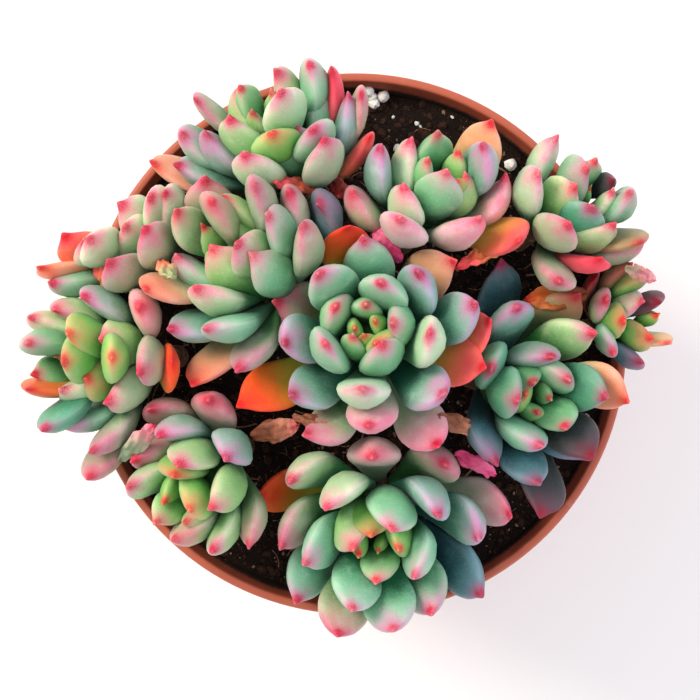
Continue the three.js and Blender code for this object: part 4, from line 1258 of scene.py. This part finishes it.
# %% The pot's plastic
def pot_plastic():
    material, bench, shader = new_finish("pot_plastic")
    place = object_place(bench)
    x, y, z = bench.parts(place)
    from_axis = bench.maths("SQRT", x * x + y * y) * 1000.0
    height = z * 1000.0
    clouds = bench.grain(place, 28.0, 4.0)
    grain = bench.grain(place, 1500.0, 2.0)
    streaks = bench.grain(bench.arrow(x, y, z * 0.15), 220.0, 3.0)
    colour = bench.blend(clouds, paint("#a65038"), paint("#b85a42"))
    scuffs = bench.smooth(bench.grain(place, 95.0, 6.0, 0.7), 0.6, 0.75) * 0.3
    colour = bench.blend(scuffs, colour, paint("#dc9580"))
    in_wall = FOOT + (SHOULDER - FOOT) * ((height - FLOOR_AT) / (COLLAR_AT - FLOOR_AT))
    in_collar = SHOULDER + POT["taper"] * ((height - COLLAR_AT) / (POT["collar"] - LIP))
    inner = bench.maths("MINIMUM", in_collar, in_wall)
    inside = bench.smooth(from_axis - inner, 0.8, 0.3)
    inside = inside * bench.smooth(height, POT["height"] - 0.1, POT["height"] - 1.2)
    wall = bench.blend(streaks, paint("#92402a"), paint("#c05c40"))
    soil_line = POT["height"] - SOIL_BELOW_RIM + 1.0
    dirt = bench.smooth(height + (clouds - 0.5) * 8.0 + (grain - 0.5) * 5.0, soil_line + 3.0, soil_line)
    wall = bench.blend(dirt, wall, paint("#2a1a14"))
    colour = bench.blend(inside, colour, wall)
    bench.join(colour, shader.inputs["Base Color"])
    bench.join(0.42 + clouds * 0.16 + inside * 0.3, shader.inputs["Roughness"])
    shader.inputs["Specular IOR Level"].default_value = 0.45
    bump(bench, shader, grain * 0.5 + streaks * 0.3, 0.1 * MM)
    return material


pot.data.materials.clear()
pot.data.materials.append(pot_plastic())
hand_over(pot, "pot", "pot")

# %% [markdown]
# ## The soil
# Potting soil is nearly black, with crumbs, bark fibres and white grains of perlite. Its surface
# is a disc of rings raised by soft noise, which climbs the wall a little here and there. What
# lies on it is scattered over it by node trees.

# %% The soil's surface
SOIL = {"rings": 46, "sides": 120, "edge": 0.5, "clear_of_floor": 0.3, "crust": 4}
CLIMB = {"from": 74, "over": 8, "height": 1.2, "unevenness": 2.2}


def inner_radius(z):
    """The pot's inside radius at a height over the table, in millimetres."""
    if z > COLLAR_AT:
        return SHOULDER + POT["taper"] * (z - COLLAR_AT) / (POT["collar"] - LIP)
    return FOOT + (SHOULDER - FOOT) * (z - FLOOR_AT) / (COLLAR_AT - FLOOR_AT)


def soil_height(x, y):
    """Height of the soil over the table, in millimetres."""
    waves = math.sin(x * 0.21 + 1.3) * math.cos(y * 0.17 - 0.6) + 0.5 * math.sin(x * 0.09 - y * 0.13)
    flat = POT["height"] - SOIL_BELOW_RIM + SOIL_ROUGHNESS * waves / 1.5
    lumps = noise.fractal(Vector((x, y, 3.0)) * 0.16, 0.9, 2.1, 4) * 0.9
    from_axis = math.hypot(x, y)
    climb = max(0.0, (from_axis - CLIMB["from"]) / CLIMB["over"]) ** 2
    climb *= CLIMB["height"] + CLIMB["unevenness"] * noise.noise(Vector((x, y, 9.0)) * 0.09)
    return flat + lumps + climb


def soil_mesh():
    """The filling, a little clear of the pot's wall and floor, with a rough top."""
    floor = FLOOR_AT + SOIL["clear_of_floor"]
    flat = POT["height"] - SOIL_BELOW_RIM
    top = inner_radius(flat) - SOIL["edge"]

    def ring(radius, level):
        turns = [math.tau * k / SOIL["sides"] for k in range(SOIL["sides"])]
        places = [(radius * math.cos(turn), radius * math.sin(turn)) for turn in turns]
        return [Vector((x, y, soil_height(x, y) if level is None else level)) * MM for x, y in places]

    rings = [ring(FOOT - SOIL["edge"], floor), ring(inner_radius(COLLAR_AT) - SOIL["edge"], COLLAR_AT),
             ring(top, flat - SOIL["crust"])]
    for k in range(SOIL["rings"]):
        rings.append(ring(top * (1 - k / SOIL["rings"]), None))
    start = Vector((0, 0, floor)) * MM
    end = Vector((0, 0, soil_height(0, 0))) * MM
    return point_outwards(skin_rings("soil_filling", rings, start, end))


# %% The soil's finish
def soil_finish(name, dark, light, depth):
    material, bench, shader = new_finish(name)
    place = object_place(bench)
    coarse = bench.grain(place, 420.0, 4.0, 0.65)
    fine = bench.grain(place, 2100.0, 2.0, 0.6)
    colour = bench.blend(coarse, paint(dark), paint(light))
    colour = bench.blend(bench.smooth(fine, 0.62, 0.72) * 0.5, colour, paint("#7a5238"))
    bench.join(colour, shader.inputs["Base Color"])
    shader.inputs["Roughness"].default_value = 0.92
    shader.inputs["Specular IOR Level"].default_value = 0.25
    bump(bench, shader, coarse + fine * 0.5, depth * MM)
    return material


earth = soil_finish("dark_soil", "#080504", "#2a1a14", 1.6)
crumb_finish = soil_finish("soil_crumb", "#0e0906", "#4c3022", 0.4)
pale_crumb_finish = soil_finish("pale_crumb", "#5c4434", "#a88c74", 0.3)
fibre_finish = soil_finish("bark_fibre", "#5c3a26", "#b89070", 0.2)
perlite_finish = soil_finish("perlite", "#e8e4dc", "#ffffff", 0.2)
soil = show("soil_filling", soil_mesh())
soil.data.materials.append(earth)
hand_over(soil, "soil", "soil")

# %% [markdown]
# Dark and pale crumbs, fibres and the dust of perlite follow one rule: points spread over the
# soil, a copy of a small shape on each, turned and sized at random with a fixed seed, then
# roughened. One function builds that tree for any small shape, and the spread is its input.

# %% The scatter tree
SCATTER_SIZES = {
    "Per square metre": 90000.0, "Smallest": 0.4, "Largest": 1.6, "Flatness": 0.7,
    "Roughening": 0.0003, "Seed": 1, "Keep within": 0.079, "Finish": None,
}


def roughen(bench, geometry, amount, scale, detail):
    """Moves the points of a geometry by a noise, to either side."""
    place = Value(bench, bench.node("GeometryNodeInputPosition").outputs[0])
    rough = bench.grain(place, scale, detail, output="Color")
    rough = bench.vectors("SUBTRACT", rough, bench.arrow(0.5, 0.5, 0.5))
    offset = bench.stretch(rough, amount * 2.0)
    return bench.node("GeometryNodeSetPosition", {"Geometry": geometry, "Offset": offset}).outputs[0]


def build_scatter_tree(name, build_shape):
    """A tree that spreads copies of a small shape over upward faces."""
    tree = new_tree(name, SCATTER_SIZES)
    bench = Bench(tree)
    given = bench.node("NodeGroupInput")
    sizes = {size: Value(bench, given.outputs[size]) for size in SCATTER_SIZES}
    x, y, _ = bench.parts(Value(bench, bench.node("GeometryNodeInputPosition").outputs[0]))
    within = bench.maths("LESS_THAN", bench.maths("SQRT", x * x + y * y), sizes["Keep within"])
    normal = Value(bench, bench.node("GeometryNodeInputNormal").outputs[0])
    upward = bench.maths("GREATER_THAN", bench.parts(normal)[2], 0.4)
    spread = bench.node("GeometryNodeDistributePointsOnFaces", {
        "Mesh": given.outputs[0], "Selection": within * upward,
        "Density": sizes["Per square metre"], "Seed": sizes["Seed"],
    })

    def draw(low, high, offset):
        made = bench.node("FunctionNodeRandomValue", {
            2: low, 3: high, "Seed": sizes["Seed"] + offset}, data_type="FLOAT")
        return Value(bench, made.outputs[1])

    size = sizes["Smallest"] + (sizes["Largest"] - sizes["Smallest"]) * draw(0.0, 1.0, 11) ** 3.0
    turn = bench.arrow(draw(-0.5, 0.5, 12), draw(-0.5, 0.5, 13), draw(0.0, math.tau, 14))
    scale = bench.arrow(size * draw(0.7, 1.3, 15), size * draw(0.7, 1.3, 16), size * sizes["Flatness"])
    copies = bench.node("GeometryNodeInstanceOnPoints", {
        "Points": spread.outputs["Points"], "Instance": build_shape(bench),
        "Rotation": turn, "Scale": scale,
    })
    real = bench.node("GeometryNodeRealizeInstances", {0: copies.outputs[0]}).outputs[0]
    paint_and_end(bench, roughen(bench, real, sizes["Roughening"], 900.0, 2.0), sizes["Finish"])
    return tree


def crumb_shape(bench, fineness=1):
    """A ball a millimetre across, of twenty faces, or of eighty at the next fineness."""
    ball = bench.node("GeometryNodeMeshIcoSphere", {"Radius": 0.5 * MM, "Subdivisions": fineness})
    return ball.outputs["Mesh"]


def fibre_shape(bench):
    """A bent strand about eight millimetres long, three-sided, with closed ends."""
    arc = bench.node("GeometryNodeCurveQuadraticBezier", {
        "Resolution": 7, "Start": (-4 * MM, 0, 0.2 * MM), "Middle": (0, 2.2 * MM, 0.9 * MM),
        "End": (4 * MM, -0.6 * MM, 0.3 * MM),
    })
    section = bench.node("GeometryNodeCurvePrimitiveCircle", {"Resolution": 3, "Radius": 0.2 * MM})
    made = bench.node("GeometryNodeCurveToMesh", {
        "Curve": arc.outputs[0], "Profile Curve": section.outputs[0], "Fill Caps": True})
    return made.outputs[0]


# %% What lies on the soil
def scatter(name, build_shape, sizes):
    mesh = grow(name, soil.data.copy(), build_scatter_tree(name + "_rule", build_shape), sizes)
    return hand_over(show(name, mesh), "soil")


scatter("soil_crumbs", crumb_shape, {
    "Per square metre": 220000.0, "Smallest": 0.5, "Largest": 3.6, "Finish": crumb_finish, "Seed": 3,
})
scatter("pale_crumbs", crumb_shape, {
    "Per square metre": 60000.0, "Smallest": 0.4, "Largest": 1.6, "Finish": pale_crumb_finish,
    "Seed": 4,
})
scatter("bark_fibres", fibre_shape, {
    "Per square metre": 26000.0, "Smallest": 0.3, "Largest": 1.7, "Finish": fibre_finish,
    "Roughening": 0.0006, "Seed": 5, "Flatness": 1.0, "Keep within": 0.074,
})

# %% [markdown]
# The larger perlite grains are seen at known places, so they are set there one by one. A small
# tree puts a rough grain on each, and a few tiny ones are scattered like the crumbs.

# %% Perlite
PERLITE = [
    {"at": (368, 93), "size": 3.8}, {"at": (374, 104), "size": 3.6}, {"at": (383, 97), "size": 3.8},
    {"at": (372, 98), "size": 3.0}, {"at": (398, 149), "size": 3.0}, {"at": (510, 165), "size": 4.0},
    {"at": (417, 124), "size": 1.4}, {"at": (421, 127), "size": 1.2}, {"at": (586, 417), "size": 2.2},
    {"at": (393, 117), "size": 1.0}, {"at": (452, 118), "size": 0.9}, {"at": (566, 497), "size": 1.2},
]
PERLITE_RISE = 0.4


def perlite_tree():
    """A rough grain on each point, as large as the point says."""
    tree = new_tree("perlite grains", {"Roughening": 0.0007, "Finish": None})
    bench = Bench(tree)
    given = bench.node("NodeGroupInput")
    size = bench.node("GeometryNodeInputNamedAttribute", {"Name": "size"}, data_type="FLOAT")
    copies = bench.node("GeometryNodeInstanceOnPoints", {
        "Points": given.outputs[0], "Instance": crumb_shape(bench, 2), "Scale": size.outputs[0]})
    real = bench.node("GeometryNodeRealizeInstances", {0: copies.outputs[0]}).outputs[0]
    amount = Value(bench, given.outputs["Roughening"])
    paint_and_end(bench, roughen(bench, real, amount, 700.0, 1.0), given.outputs["Finish"])
    return tree


def perlite_rows():
    rows = []
    for grain in PERLITE:
        x, y, _ = seen_at(grain["at"], -SOIL_BELOW_RIM)
        z = soil_height(x, y) + grain["size"] * PERLITE_RISE
        rows.append({"root": (x * MM, y * MM, z * MM), "size": float(grain["size"])})
    return rows


grains = grow("perlite_grains", points_mesh("perlite_points", perlite_rows()), perlite_tree(),
              {"Finish": perlite_finish})
hand_over(show("perlite_grains", grains), "soil")
scatter("perlite_dust", crumb_shape, {
    "Per square metre": 1800.0, "Smallest": 0.5, "Largest": 1.5, "Finish": perlite_finish, "Seed": 8,
})

# %% [markdown]
# ## Floor and light
# The photograph is cut out on white and was taken in clear daylight from the upper left. Here a
# pale floor stands in for the white, and three soft lamps for the daylight, the blue of the sky
# and the light thrown back from the ground. The bright world fills the shadows.

# %% Floor
bpy.ops.mesh.primitive_plane_add(size=4)
floor = bpy.context.object
floor.name = "floor"
floor_finish, _, floor_shader = new_finish("pale_floor")
floor_shader.inputs["Base Color"].default_value = paint("#f4f3f1")
floor_shader.inputs["Roughness"].default_value = 0.9
floor.data.materials.append(floor_finish)

# %% Light
LAMPS_AIM_AT = 0.13
WORLD_STRENGTH = 0.75


def soft_lamp(name, place, size, power, colour=(1, 1, 1)):
    """A square lamp that looks at the plants."""
    light = bpy.data.lights.new(name, "AREA")
    light.size = size
    light.energy = power
    light.color = colour
    lamp = bpy.data.objects.new(name, light)
    lamp.location = place
    aim = Vector((0, 0, LAMPS_AIM_AT)) - Vector(place)
    lamp.rotation_euler = aim.to_track_quat("-Z", "Y").to_euler()
    bpy.context.collection.objects.link(lamp)


soft_lamp("daylight", (-0.8, 0.5, 0.95), 0.55, 16, (1.0, 0.92, 0.78))
soft_lamp("sky", (0.8, 0.4, 0.8), 1.2, 6, (0.74, 0.8, 1.0))
soft_lamp("bounce", (0.6, -0.9, 0.6), 1.4, 4, (0.94, 0.92, 1.0))
world = bpy.data.worlds.new("pale_room")
world.use_nodes = True
sky = world.node_tree.nodes["Background"]
sky.inputs["Color"].default_value = (1.0, 1.0, 1.0, 1.0)
sky.inputs["Strength"].default_value = WORLD_STRENGTH
bpy.context.scene.world = world
bpy.context.scene.view_settings.view_transform = "Standard"
